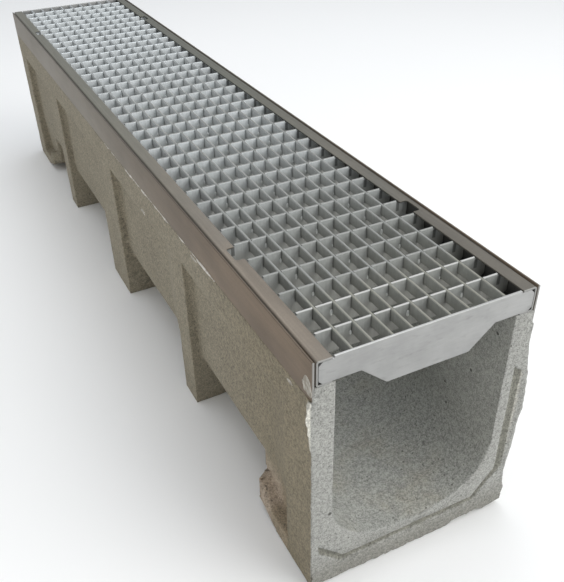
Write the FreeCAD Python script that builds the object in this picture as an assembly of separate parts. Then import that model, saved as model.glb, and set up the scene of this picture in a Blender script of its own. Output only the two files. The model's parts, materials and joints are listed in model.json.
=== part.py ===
import FreeCAD, Part
import math
import os

# Drain channel unit: a ribbed concrete channel with steel edge strips along its top edges and a
# press-locked mesh grate in a sheet-steel frame that lies on the two wall tops.
# Millimetres. X runs across the channel, Y along it from the near end, Z up.
# The origin is the centre of the base.

# Overall unit
UNIT_LENGTH = 1000.0
UNIT_WIDTH = 185.0
UNIT_HEIGHT = 236.0

# Concrete trough
CLEAR_WIDTH = 150.0
FLOOR_HEIGHT = 34.5
TROUGH_CORNER_RADIUS = 54.0
TROUGH_FLOOR_RADIUS = 150.0

# Concrete underside and side panels between the ribs
PANEL_RECESS = 9.0
PANEL_TOP = 174.0
PANEL_SLOPE_DROP = 20.0
PANEL_RAMP_LENGTH = 40.0
UNDERSIDE_HEIGHT = 20.0
UNDERSIDE_CORNER_RADIUS = 55.0

# Ribs: a regular pitch from the near end, with a wider one in the middle
RIB_PITCH = 250.0
RIB_COUNT = 3
RIB_THICKNESS = 32.0
MIDDLE_RIB_THICKNESS = 68.0

# End pillars and the shoes behind them
PILLAR_LENGTH = 42.0
SHOE_LENGTH = 97.0
SHOE_INNER_LENGTH = 106.0
SHOE_HEIGHT = 17.0
SHOE_RAMP_LENGTH = 46.0
SHOE_RAMP_RISE = 14.5
HEEL_LENGTH = 25.0
HEEL_RISE = 18.0
POCKET_TOP = 86.0
POCKET_DEPTH = 13.0

# Sealing groove in the near end face: steep on its inner side, sloped on its outer one
GROOVE_WIDTH = 7.0
GROOVE_FLOOR_WIDTH = 3.5
GROOVE_DEPTH = 4.5
GROOVE_BAND = 8.5
GROOVE_TOP = 165.0
GROOVE_POINT = 9.0
GROOVE_LOW_BEND = 51.0
GROOVE_BOTTOM = 26.0
GROOVE_CHAMFER = 20.0
GROOVE_RUNOUT = 17.0

# Edge strips and the tabs that hold them in the concrete
STRIP_THICKNESS = 1.5
STRIP_HEIGHT = 33.5
ANCHOR_COUNT = 5
ANCHOR_PITCH = 200.0
ANCHOR_LENGTH = 20.0
ANCHOR_SHEET = 2.0
ANCHOR_REACH = 8.0
ANCHOR_DROP = 24.0
ANCHOR_COVER = 4.0

# Grate frame rails
RAIL_SHEET = 1.5
RAIL_HEIGHT = 21.5
RAIL_WIDTH = 12.05
RAIL_BEND_RADIUS = 2.2
RAIL_SEAM = 1.2
NOTCH_LENGTH = 20.0
NOTCH_DEPTH = 7.0
NOTCH_RADIUS = 2.5
NOTCH_FROM_END = 145.0

# Mesh of the grate
BEARING_BAR_COUNT = 37
BEARING_BAR_THICKNESS = 2.0
TIE_BAR_COUNT = 9
TIE_BAR_THICKNESS = 2.0
TIE_BAR_DEPTH = 10.0
BAR_END_CLEARANCE = 0.3
BAR_END_CHAMFER = 2.5
LIP_CLEARANCE = 0.2
SHOULDER_CLEARANCE = 1.5

# End plates of the grate
PLATE_THICKNESS = 2.0
PLATE_CORNER_CHAMFER = 3.0
TONGUE_TOP_WIDTH = 111.0
TONGUE_BOTTOM_WIDTH = 69.0
TONGUE_DROP = 18.5

# Derived places
NEAR_END = -UNIT_LENGTH / 2
FAR_END = UNIT_LENGTH / 2
OUTER_FACE = UNIT_WIDTH / 2
WALL_FACE = CLEAR_WIDTH / 2
LEDGE = UNIT_HEIGHT - RAIL_HEIGHT
PANEL_FACE = OUTER_FACE - PANEL_RECESS
STRIP_INNER_FACE = OUTER_FACE - STRIP_THICKNESS
RAIL_OUTER_FACE = STRIP_INNER_FACE - RAIL_SEAM
RAIL_WEB_FACE = RAIL_OUTER_FACE - RAIL_SHEET
LIP_EDGE = RAIL_OUTER_FACE - RAIL_WIDTH
SEAT = LEDGE + RAIL_SHEET
LIP_UNDERSIDE = UNIT_HEIGHT - RAIL_SHEET
BAR_HALF_LENGTH = RAIL_WEB_FACE - BAR_END_CLEARANCE
SHOULDER = LIP_UNDERSIDE - LIP_CLEARANCE
RAISED_HALF_LENGTH = LIP_EDGE - SHOULDER_CLEARANCE
BEARING_PITCH = (UNIT_LENGTH - PLATE_THICKNESS) / (BEARING_BAR_COUNT + 1)
TIE_PITCH = 2 * LIP_EDGE / (TIE_BAR_COUNT + 1)

# Cutters reach this far past the faces that they cut
OVERCUT = 2.0

ACROSS = FreeCAD.Vector(1, 0, 0)
ALONG = FreeCAD.Vector(0, 1, 0)
UP = FreeCAD.Vector(0, 0, 1)
ORIGIN = FreeCAD.Vector(0, 0, 0)


def section_point(x, z):
    """A point of a cross-section, in the plane Y = 0."""
    return FreeCAD.Vector(x, 0, z)


def extrude_along(wire, start, end):
    """Extrude a closed cross-section wire from Y = start to Y = end."""
    solid = Part.Face(wire).extrude(ALONG * (end - start))
    solid.translate(ALONG * start)
    return solid


def prism_along(points, start, end):
    """Extrude a cross-section outline, given as (x, z) corners, along Y."""
    corners = [section_point(x, z) for x, z in points]
    return extrude_along(Part.makePolygon(corners + corners[:1]), start, end)


def prism_up(points, bottom, top):
    """Extrude a plan outline, given as (x, y) corners, from Z = bottom to Z = top."""
    corners = [FreeCAD.Vector(x, y, bottom) for x, y in points]
    return Part.Face(Part.makePolygon(corners + corners[:1])).extrude(UP * (top - bottom))


def prism_across(points, half_width):
    """Extrude a side outline, given as (y, z) corners, across the channel's middle plane."""
    corners = [FreeCAD.Vector(-half_width, y, z) for y, z in points]
    return Part.Face(Part.makePolygon(corners + corners[:1])).extrude(ACROSS * (2 * half_width))


def box_between(low, high):
    """A box from its lowest to its highest corner."""
    size = [b - a for a, b in zip(low, high)]
    return Part.makeBox(*size, FreeCAD.Vector(*low))


def mirrored_across(shape):
    """The same piece on the other long side."""
    return shape.mirror(ORIGIN, ACROSS)


def mirrored_along(shape):
    """The same feature at the other end."""
    return shape.mirror(ORIGIN, ALONG)


def arc(start, middle, end):
    """A cross-section arc through three (x, z) points."""
    return Part.Arc(section_point(*start), section_point(*middle), section_point(*end)).toShape()


def line(start, end):
    """A cross-section line between two (x, z) points."""
    return Part.LineSegment(section_point(*start), section_point(*end)).toShape()


def on_circle(centre, radius, degrees):
    """The (x, z) point of a circle at an angle from the X axis."""
    turn = math.radians(degrees)
    return (centre[0] + radius * math.cos(turn), centre[1] + radius * math.sin(turn))


def flip(point):
    """The (x, z) point on the other side of the channel's middle plane."""
    return (-point[0], point[1])


def trough_cutter():
    """The water way: upright walls, round corners and a slightly dished floor, through both ends."""
    floor_centre = (0.0, FLOOR_HEIGHT + TROUGH_FLOOR_RADIUS)
    corner_x = WALL_FACE - TROUGH_CORNER_RADIUS
    reach = TROUGH_FLOOR_RADIUS - TROUGH_CORNER_RADIUS
    corner = (corner_x, floor_centre[1] - math.sqrt(reach ** 2 - corner_x ** 2))
    tangent_angle = math.degrees(math.atan2(corner[1] - floor_centre[1], corner_x))
    wall_foot = on_circle(corner, TROUGH_CORNER_RADIUS, 0)
    corner_middle = on_circle(corner, TROUGH_CORNER_RADIUS, tangent_angle / 2)
    corner_end = on_circle(corner, TROUGH_CORNER_RADIUS, tangent_angle)
    wall_head = (WALL_FACE, UNIT_HEIGHT)
    edges = [
        line(wall_head, wall_foot),
        arc(wall_foot, corner_middle, corner_end),
        arc(corner_end, (0.0, FLOOR_HEIGHT), flip(corner_end)),
        arc(flip(corner_end), flip(corner_middle), flip(wall_foot)),
        line(flip(wall_foot), flip(wall_head)),
        line(flip(wall_head), wall_head),
    ]
    return extrude_along(Part.Wire(edges), NEAR_END - OVERCUT, FAR_END + OVERCUT)


def arch_cutter(start, end):
    """The open space below the trough between two ribs, round at its upper corners."""
    corner = (PANEL_FACE - UNDERSIDE_CORNER_RADIUS, UNDERSIDE_HEIGHT + UNDERSIDE_CORNER_RADIUS)
    side = on_circle(corner, UNDERSIDE_CORNER_RADIUS, 0)
    middle = on_circle(corner, UNDERSIDE_CORNER_RADIUS, -45)
    foot = on_circle(corner, UNDERSIDE_CORNER_RADIUS, -90)
    outside_high = (OUTER_FACE + OVERCUT, side[1])
    outside_low = (OUTER_FACE + OVERCUT, -OVERCUT)
    edges = [
        line(outside_high, side),
        arc(side, middle, foot),
        line(foot, flip(foot)),
        arc(flip(foot), flip(middle), flip(side)),
        line(flip(side), flip(outside_high)),
        line(flip(outside_high), flip(outside_low)),
        line(flip(outside_low), outside_low),
        line(outside_low, outside_high),
    ]
    return extrude_along(Part.Wire(edges), start, end)


def panel_cutter(start, end):
    """A side panel's recess on the right wall: a sloping top, and a ramp behind the nearer rib."""
    low = UNDERSIDE_HEIGHT + UNDERSIDE_CORNER_RADIUS
    outside = OUTER_FACE + OVERCUT
    upright = prism_along(
        [
            (OUTER_FACE, PANEL_TOP),
            (PANEL_FACE, PANEL_TOP - PANEL_SLOPE_DROP),
            (PANEL_FACE, low),
            (outside, low),
            (outside, PANEL_TOP),
        ],
        start,
        end,
    )
    plan = prism_up(
        [
            (OUTER_FACE, start),
            (PANEL_FACE, start + PANEL_RAMP_LENGTH),
            (PANEL_FACE, end),
            (outside, end),
            (outside, start),
        ],
        low,
        PANEL_TOP,
    )
    return upright.common(plan)


def near_foot():
    """The near end's shoe: its underside rises at the back, and each side has a scooped pocket
    whose floor climbs to a heel."""
    shoe_end = NEAR_END + SHOE_LENGTH
    inner_end = NEAR_END + SHOE_INNER_LENGTH
    pocket_foot = OUTER_FACE - POCKET_DEPTH
    outline = [
        (-OUTER_FACE, NEAR_END),
        (OUTER_FACE, NEAR_END),
        (OUTER_FACE, shoe_end),
        (pocket_foot, inner_end),
        (-pocket_foot, inner_end),
        (-OUTER_FACE, shoe_end),
    ]
    block = prism_up(outline, 0.0, POCKET_TOP)
    outside = OUTER_FACE + OVERCUT
    pocket = prism_along(
        [
            (PANEL_FACE, POCKET_TOP),
            (pocket_foot, SHOE_HEIGHT),
            (outside, SHOE_HEIGHT),
            (outside, POCKET_TOP),
        ],
        NEAR_END + PILLAR_LENGTH,
        inner_end + OVERCUT,
    )
    behind = inner_end + OVERCUT
    ramp_start = inner_end - SHOE_RAMP_LENGTH
    ramp = prism_across(
        [
            (ramp_start, 0.0),
            (inner_end, SHOE_RAMP_RISE),
            (behind, SHOE_RAMP_RISE),
            (behind, -OVERCUT),
            (ramp_start, -OVERCUT),
        ],
        outside,
    )
    heel_start = shoe_end - HEEL_LENGTH
    heel_top = SHOE_HEIGHT + HEEL_RISE
    heel = prism_across(
        [
            (heel_start, SHOE_HEIGHT),
            (shoe_end, heel_top),
            (behind + OVERCUT, heel_top),
            (behind + OVERCUT, SHOE_HEIGHT - OVERCUT),
            (heel_start, SHOE_HEIGHT - OVERCUT),
        ],
        outside + OVERCUT,
    )
    pocket = pocket.cut(heel)
    return block.cut([pocket, mirrored_across(pocket), ramp])


def rib_spans():
    """The (start, end) of each rib along Y, from the near end."""
    spans = []
    for number in range(1, RIB_COUNT + 1):
        is_middle = 2 * number == RIB_COUNT + 1
        thickness = MIDDLE_RIB_THICKNESS if is_middle else RIB_THICKNESS
        centre = NEAR_END + number * RIB_PITCH + RIB_THICKNESS / 2
        spans.append((centre - thickness / 2, centre + thickness / 2))
    return spans


def bay_spans():
    """The (start, end) of each bay between pillars and ribs."""
    ribs = rib_spans()
    starts = [NEAR_END + PILLAR_LENGTH] + [rib_end for _, rib_end in ribs]
    ends = [rib_start for rib_start, _ in ribs] + [FAR_END - PILLAR_LENGTH]
    return list(zip(starts, ends))


def beside(line, distance):
    """An open line of (x, z) points moved sideways by a distance, mitred at its bends."""
    moved = []
    for index, point in enumerate(line):
        normals = []
        for first, second in ((index - 1, index), (index, index + 1)):
            if first < 0 or second >= len(line):
                continue
            run = (line[second][0] - line[first][0], line[second][1] - line[first][1])
            length = math.hypot(*run)
            normals.append((-run[1] / length, run[0] / length))
        mean = (sum(n[0] for n in normals), sum(n[1] for n in normals))
        scale = len(normals) / (mean[0] ** 2 + mean[1] ** 2) * distance
        moved.append((point[0] + mean[0] * scale, point[1] + mean[1] * scale))
    return moved


def groove_outline(width, place):
    """The groove's outline at one depth: a steep inner edge, pointed at both ends, and the outer edge."""
    wall_line = WALL_FACE + GROOVE_BAND
    floor_right = wall_line - GROOVE_CHAMFER
    route = [
        (wall_line, GROOVE_TOP - GROOVE_POINT),
        (wall_line, GROOVE_LOW_BEND),
        (floor_right, GROOVE_BOTTOM),
        (-floor_right, GROOVE_BOTTOM),
        (-floor_right - GROOVE_RUNOUT, GROOVE_BOTTOM + GROOVE_RUNOUT),
    ]
    point = GROOVE_POINT * width / GROOVE_WIDTH
    top_tip = (route[0][0], route[0][1] + point)
    end_tip = (route[-1][0] - point * math.sqrt(0.5), route[-1][1] + point * math.sqrt(0.5))
    corners = [top_tip] + route + [end_tip] + beside(route, width)[::-1]
    return Part.makePolygon([FreeCAD.Vector(x, place, z) for x, z in corners + corners[:1]])


def near_groove():
    """The sealing groove of the near end: down the right wall, round under the floor, out at left."""
    spread = (GROOVE_WIDTH - GROOVE_FLOOR_WIDTH) / GROOVE_DEPTH
    mouth = groove_outline(GROOVE_WIDTH + OVERCUT * spread, NEAR_END - OVERCUT)
    floor = groove_outline(GROOVE_FLOOR_WIDTH, NEAR_END + GROOVE_DEPTH)
    return Part.makeLoft([mouth, floor], True, True)


def anchor_tab(middle):
    """One right-hand tab: a foot against the strip's inner face and a leg down into the wall."""
    top = LEDGE - ANCHOR_COVER
    bend = STRIP_INNER_FACE - ANCHOR_REACH
    outline = [
        (STRIP_INNER_FACE, top),
        (STRIP_INNER_FACE, top - ANCHOR_SHEET),
        (bend + ANCHOR_SHEET, top - ANCHOR_SHEET),
        (bend + ANCHOR_SHEET, top - ANCHOR_DROP),
        (bend, top - ANCHOR_DROP),
        (bend, top),
    ]
    return prism_along(outline, middle - ANCHOR_LENGTH / 2, middle + ANCHOR_LENGTH / 2)


def right_anchors():
    """The row of tabs on the right wall, as separate solids."""
    first = -(ANCHOR_COUNT - 1) / 2 * ANCHOR_PITCH
    return Part.makeCompound([anchor_tab(first + k * ANCHOR_PITCH) for k in range(ANCHOR_COUNT)])


def right_edge_strip():
    """The flat strip let into the right wall's outer top edge."""
    return box_between(
        (STRIP_INNER_FACE, NEAR_END, UNIT_HEIGHT - STRIP_HEIGHT),
        (OUTER_FACE, FAR_END, UNIT_HEIGHT),
    )


def channel_body():
    """The concrete casting with its ribs, shoes, panels, grooves and beds for the steel."""
    body = box_between((-OUTER_FACE, NEAR_END, 0), (OUTER_FACE, FAR_END, LEDGE))
    feet = [near_foot()]
    feet.append(mirrored_along(feet[0]))
    cutters = [trough_cutter()]
    for start, end in bay_spans():
        cutters.append(arch_cutter(start, end).cut(feet))
        panel = panel_cutter(start, end)
        cutters += [panel, mirrored_across(panel)]
    groove = near_groove()
    cutters += [groove, mirrored_along(groove)]
    for piece in [right_edge_strip()] + right_anchors().Solids:
        cutters += [piece, mirrored_across(piece)]
    return body.cut(cutters)


def rail_section():
    """The right rail's C section: top lip, web and bottom flange with round bends, open inwards."""
    inner_radius = RAIL_BEND_RADIUS - RAIL_SHEET
    bend_x = RAIL_OUTER_FACE - RAIL_BEND_RADIUS
    low = (bend_x, LEDGE + RAIL_BEND_RADIUS)
    high = (bend_x, UNIT_HEIGHT - RAIL_BEND_RADIUS)

    def bend(centre, radius, first, last):
        stops = [on_circle(centre, radius, angle) for angle in (first, (first + last) / 2, last)]
        return arc(*stops)

    edges = [
        line((LIP_EDGE, LEDGE), (bend_x, LEDGE)),
        bend(low, RAIL_BEND_RADIUS, -90, 0),
        line((RAIL_OUTER_FACE, low[1]), (RAIL_OUTER_FACE, high[1])),
        bend(high, RAIL_BEND_RADIUS, 0, 90),
        line((bend_x, UNIT_HEIGHT), (LIP_EDGE, UNIT_HEIGHT)),
        line((LIP_EDGE, UNIT_HEIGHT), (LIP_EDGE, LIP_UNDERSIDE)),
        line((LIP_EDGE, LIP_UNDERSIDE), (bend_x, LIP_UNDERSIDE)),
        bend(high, inner_radius, 90, 0),
        line((RAIL_WEB_FACE, high[1]), (RAIL_WEB_FACE, low[1])),
        bend(low, inner_radius, 0, -90),
        line((bend_x, SEAT), (LIP_EDGE, SEAT)),
        line((LIP_EDGE, SEAT), (LIP_EDGE, LEDGE)),
    ]
    return Part.Wire(edges)


def is_upright(edge):
    """Whether a straight edge runs along Z."""
    first, last = edge.Vertexes[0].Point, edge.Vertexes[-1].Point
    return math.hypot(first.x - last.x, first.y - last.y) < 1e-6


def notch_cutter(middle):
    """A round-cornered notch in the right rail's lip, centred at Y = middle."""
    notch = box_between(
        (LIP_EDGE - NOTCH_DEPTH, middle - NOTCH_LENGTH / 2, LIP_UNDERSIDE - RAIL_SHEET),
        (LIP_EDGE + NOTCH_DEPTH, middle + NOTCH_LENGTH / 2, UNIT_HEIGHT + OVERCUT),
    )
    return notch.makeFillet(NOTCH_RADIUS, [edge for edge in notch.Edges if is_upright(edge)])


def right_side_rail():
    """The grate's right-hand frame rail with its two lip notches."""
    rail = extrude_along(rail_section(), NEAR_END, FAR_END)
    middles = (NEAR_END + NOTCH_FROM_END, FAR_END - NOTCH_FROM_END)
    return rail.cut([notch_cutter(middle) for middle in middles])


def shouldered_top(slots):
    """The upper outline of a bar or plate, right to left, as (x, z) corners."""
    points = [(RAISED_HALF_LENGTH, SHOULDER), (RAISED_HALF_LENGTH, UNIT_HEIGHT)]
    for x in reversed(slots):
        right, left = x + TIE_BAR_THICKNESS / 2, x - TIE_BAR_THICKNESS / 2
        slot_foot = UNIT_HEIGHT - TIE_BAR_DEPTH
        points += [(right, UNIT_HEIGHT), (right, slot_foot), (left, slot_foot), (left, UNIT_HEIGHT)]
    return points + [(-RAISED_HALF_LENGTH, UNIT_HEIGHT), (-RAISED_HALF_LENGTH, SHOULDER)]


def tie_bar_places():
    """The X of each tie bar, evenly spaced between the lips."""
    return [-LIP_EDGE + number * TIE_PITCH for number in range(1, TIE_BAR_COUNT + 1)]


def bearing_bar(number):
    """One crosswise bar, standing on the rails' flanges, slotted from above for the tie bars."""
    middle = NEAR_END + PLATE_THICKNESS / 2 + number * BEARING_PITCH
    cut = BAR_END_CHAMFER
    outline = [(-BAR_HALF_LENGTH + cut, SEAT), (BAR_HALF_LENGTH - cut, SEAT), (BAR_HALF_LENGTH, SEAT + cut)]
    outline += [(BAR_HALF_LENGTH, SHOULDER - cut), (BAR_HALF_LENGTH - cut, SHOULDER)]
    outline += shouldered_top(tie_bar_places())
    outline += [(-BAR_HALF_LENGTH + cut, SHOULDER), (-BAR_HALF_LENGTH, SHOULDER - cut)]
    outline += [(-BAR_HALF_LENGTH, SEAT + cut)]
    half = BEARING_BAR_THICKNESS / 2
    return prism_along(outline, middle - half, middle + half)


def tie_bar(x):
    """One lengthwise bar, pressed flush into the slots, from end plate to end plate."""
    half = TIE_BAR_THICKNESS / 2
    return box_between(
        (x - half, NEAR_END + PLATE_THICKNESS, UNIT_HEIGHT - TIE_BAR_DEPTH),
        (x + half, FAR_END - PLATE_THICKNESS, UNIT_HEIGHT),
    )


def near_end_plate():
    """The near end plate: shouldered arms inside the rails and a tapered tongue below them."""
    cut = PLATE_CORNER_CHAMFER
    tongue_foot = SEAT - TONGUE_DROP
    outline = [
        (-BAR_HALF_LENGTH + cut, SEAT),
        (-TONGUE_TOP_WIDTH / 2, SEAT),
        (-TONGUE_BOTTOM_WIDTH / 2, tongue_foot),
        (TONGUE_BOTTOM_WIDTH / 2, tongue_foot),
        (TONGUE_TOP_WIDTH / 2, SEAT),
        (BAR_HALF_LENGTH - cut, SEAT),
        (BAR_HALF_LENGTH, SEAT + cut),
        (BAR_HALF_LENGTH, SHOULDER - cut),
        (BAR_HALF_LENGTH - cut, SHOULDER),
    ]
    outline += shouldered_top([])
    outline += [
        (-BAR_HALF_LENGTH + cut, SHOULDER),
        (-BAR_HALF_LENGTH, SHOULDER - cut),
        (-BAR_HALF_LENGTH, SEAT + cut),
    ]
    return prism_along(outline, NEAR_END, NEAR_END + PLATE_THICKNESS)


def build_pieces():
    """Every piece by its node name."""
    pieces = {"channel_body": channel_body()}
    right_hand = {
        "edge_strip": right_edge_strip(),
        "edge_anchors": right_anchors(),
        "side_rail": right_side_rail(),
    }
    for name, piece in right_hand.items():
        pieces["right_" + name] = piece
        pieces["left_" + name] = mirrored_across(piece)
    pieces["near_end_plate"] = near_end_plate()
    pieces["far_end_plate"] = mirrored_along(pieces["near_end_plate"])
    for number in range(1, BEARING_BAR_COUNT + 1):
        pieces[f"bearing_bar_{number:02d}"] = bearing_bar(number)
    for number, x in enumerate(tie_bar_places(), start=1):
        pieces[f"tie_bar_{number}"] = tie_bar(x)
    return pieces


os.makedirs("parts", exist_ok=True)
for node, shape in build_pieces().items():
    shape.exportStep(f"parts/{node}.step")
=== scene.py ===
"""Looks of a precast drain channel with steel edge strips and a framed mesh grate.

Lengths are in metres. X runs across the channel, Y along it and Z up, and the near end is the one at
the lowest Y, as in the frame that the script loads.
"""

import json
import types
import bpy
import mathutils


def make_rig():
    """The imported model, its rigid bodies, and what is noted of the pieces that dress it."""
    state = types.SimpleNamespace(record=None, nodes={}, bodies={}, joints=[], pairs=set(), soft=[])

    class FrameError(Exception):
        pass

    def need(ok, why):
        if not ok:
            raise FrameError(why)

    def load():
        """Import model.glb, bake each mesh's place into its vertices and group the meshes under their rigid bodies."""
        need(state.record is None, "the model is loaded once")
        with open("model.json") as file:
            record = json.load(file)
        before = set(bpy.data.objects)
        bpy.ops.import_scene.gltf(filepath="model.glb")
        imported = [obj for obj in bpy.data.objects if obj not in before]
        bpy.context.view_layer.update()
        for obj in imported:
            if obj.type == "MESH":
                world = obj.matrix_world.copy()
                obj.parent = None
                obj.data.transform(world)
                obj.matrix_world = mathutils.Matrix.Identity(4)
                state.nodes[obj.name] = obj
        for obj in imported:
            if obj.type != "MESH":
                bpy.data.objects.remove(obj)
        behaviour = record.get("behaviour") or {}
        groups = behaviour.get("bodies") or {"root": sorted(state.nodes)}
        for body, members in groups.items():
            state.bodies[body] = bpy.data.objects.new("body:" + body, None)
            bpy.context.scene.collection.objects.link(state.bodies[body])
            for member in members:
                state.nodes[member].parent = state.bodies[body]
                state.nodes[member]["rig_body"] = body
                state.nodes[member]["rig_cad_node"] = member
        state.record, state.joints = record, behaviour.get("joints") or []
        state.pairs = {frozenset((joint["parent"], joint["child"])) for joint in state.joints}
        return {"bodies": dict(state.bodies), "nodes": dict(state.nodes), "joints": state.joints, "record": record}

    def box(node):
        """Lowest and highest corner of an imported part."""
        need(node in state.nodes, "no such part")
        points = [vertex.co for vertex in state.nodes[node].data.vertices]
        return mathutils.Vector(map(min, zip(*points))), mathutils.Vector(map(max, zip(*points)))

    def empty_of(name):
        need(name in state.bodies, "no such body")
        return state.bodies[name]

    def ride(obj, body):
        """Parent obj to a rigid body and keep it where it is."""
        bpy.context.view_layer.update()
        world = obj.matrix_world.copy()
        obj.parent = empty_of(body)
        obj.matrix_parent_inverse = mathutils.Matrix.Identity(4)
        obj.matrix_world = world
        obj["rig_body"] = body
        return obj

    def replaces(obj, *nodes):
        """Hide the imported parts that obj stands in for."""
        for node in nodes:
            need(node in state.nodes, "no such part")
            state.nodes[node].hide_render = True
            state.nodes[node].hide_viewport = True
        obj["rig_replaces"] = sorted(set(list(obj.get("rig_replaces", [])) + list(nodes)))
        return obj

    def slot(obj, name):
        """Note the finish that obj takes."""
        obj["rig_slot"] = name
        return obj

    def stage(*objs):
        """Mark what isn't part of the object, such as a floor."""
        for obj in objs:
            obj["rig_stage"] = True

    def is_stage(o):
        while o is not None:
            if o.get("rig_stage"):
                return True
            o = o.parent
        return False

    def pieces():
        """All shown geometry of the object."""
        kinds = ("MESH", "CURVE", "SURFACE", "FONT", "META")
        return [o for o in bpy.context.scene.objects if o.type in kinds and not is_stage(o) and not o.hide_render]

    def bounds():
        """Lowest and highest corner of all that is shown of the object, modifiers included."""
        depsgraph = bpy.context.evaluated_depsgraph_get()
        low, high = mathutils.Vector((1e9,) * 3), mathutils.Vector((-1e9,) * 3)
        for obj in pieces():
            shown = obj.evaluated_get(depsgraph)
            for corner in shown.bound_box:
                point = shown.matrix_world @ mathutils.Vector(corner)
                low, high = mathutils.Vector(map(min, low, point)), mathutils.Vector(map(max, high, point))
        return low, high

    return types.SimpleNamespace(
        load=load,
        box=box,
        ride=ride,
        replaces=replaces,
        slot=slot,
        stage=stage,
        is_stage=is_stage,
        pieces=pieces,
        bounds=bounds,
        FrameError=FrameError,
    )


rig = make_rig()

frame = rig.load()

import json
import logging
import math
from dataclasses import dataclass
from enum import Enum

import bmesh
import bpy
from mathutils import Matrix, Vector, noise

LOG = logging.getLogger("drain_channel")
CAD_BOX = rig.bounds()
SIZE_FILE = "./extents.json"
BODY = "root"
MM = 0.001
MERGE_DISTANCE = 0.00001
FLAT_ANGLE = math.radians(0.3)

# Degrees of turn beyond which an edge is shaded sharp, on crisp and on lumpy pieces
CRISP_TURN = 40.0
LUMPY_TURN = 60.0

# Where the trough's lower right corner is centred, as X and Z, and its radius
TROUGH_CORNER = (21.0 * MM, 90.8 * MM)
TROUGH_RADIUS = 54.0 * MM

# Distances from a pit's middle, in its radii, where the pit ends and where it is full
PIT_RIM = (1.0, 0.6)

# Added to a pit's radius, so that nothing is divided by zero
LEAST_PIT = 0.00001

Colour = tuple[float, float, float, float]

# The two ends of a range. For a mask they are where it is 0 and where it is 1.
Span = tuple[float, float]

# The (place, value) points of a line, in rising order of place
Line = tuple[tuple[float, float], ...]


class Placed(Enum):
    """An option whose name is a part of the names of the frame's nodes."""

    @property
    def word(self) -> str:
        """The option's name in the frame's nodes."""
        return self.name.lower()


class Side(Placed):
    """The two long sides of the channel, with the sign of their X."""

    LEFT = -1
    RIGHT = 1


class End(Placed):
    """The two ends of the channel, with the sign of their Y."""

    NEAR = -1
    FAR = 1


class Wire:
    """A value in a node tree that can be used in Python sums."""

    def __init__(self, board: "Board", socket: bpy.types.NodeSocket) -> None:
        """Keeps the board that the value belongs to and the socket that gives it."""
        self.board = board
        self.socket = socket

    def __add__(self, other: "float | Wire") -> "Wire":
        """self + other."""
        return self.board.math("ADD", self, other)

    def __radd__(self, other: float) -> "Wire":
        """other + self."""
        return self.board.math("ADD", other, self)

    def __sub__(self, other: "float | Wire") -> "Wire":
        """self - other."""
        return self.board.math("SUBTRACT", self, other)

    def __rsub__(self, other: float) -> "Wire":
        """other - self."""
        return self.board.math("SUBTRACT", other, self)

    def __mul__(self, other: "float | Wire") -> "Wire":
        """self * other."""
        return self.board.math("MULTIPLY", self, other)

    def __rmul__(self, other: float) -> "Wire":
        """other * self."""
        return self.board.math("MULTIPLY", other, self)

    def __truediv__(self, other: "float | Wire") -> "Wire":
        """self / other."""
        return self.board.math("DIVIDE", self, other)

    def __rtruediv__(self, other: float) -> "Wire":
        """other / self."""
        return self.board.math("DIVIDE", other, self)

    def __abs__(self) -> "Wire":
        """The value without its sign."""
        return self.board.math("ABSOLUTE", self)

    def __round__(self) -> "Wire":
        """The nearest whole number."""
        return self.board.math("ROUND", self)


class Board:
    """A node tree and the ways to add nodes to it."""

    def __init__(self, tree: bpy.types.NodeTree) -> None:
        """Keeps the tree that the nodes go into."""
        self.tree = tree

    def node(
        self,
        kind: str,
        settings: dict | None = None,
        sockets: dict | None = None,
        output: int | str = 0,
    ) -> Wire | None:
        """Adds one node.

        Args:
            kind: The node's type.
            settings: Attributes of the node, set first.
            sockets: Values or wires for its inputs, by name or number.
            output: The output that is given back.

        Returns:
            The wire of that output, or None for a node that has no outputs.
        """
        made = self.tree.nodes.new(kind)
        for name, value in (settings or {}).items():
            setattr(made, name, value)
        for key, value in (sockets or {}).items():
            if isinstance(value, Wire):
                self.tree.links.new(value.socket, made.inputs[key])
            else:
                made.inputs[key].default_value = value
        return Wire(self, made.outputs[output]) if made.outputs else None

    def math(self, operation: str, first: float | Wire, second: float | Wire | None = None) -> Wire:
        """Adds a Math node on one or two values."""
        sockets = {0: first} if second is None else {0: first, 1: second}
        return self.node("ShaderNodeMath", {"operation": operation}, sockets)

    def step(self, value: Wire, low: float, high: float) -> Wire:
        """Goes smoothly from 0 to 1 between two values.

        Args:
            value: The value that is looked at.
            low: Where the result is 0. It may be the larger of the two.
            high: Where the result is 1.

        Returns:
            The result, from 0 to 1.
        """
        if low > high:
            return 1.0 - self.step(value, high, low)
        sockets = {"Value": value, "From Min": low, "From Max": high}
        return self.node("ShaderNodeMapRange", {"interpolation_type": "SMOOTHSTEP"}, sockets)


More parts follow.
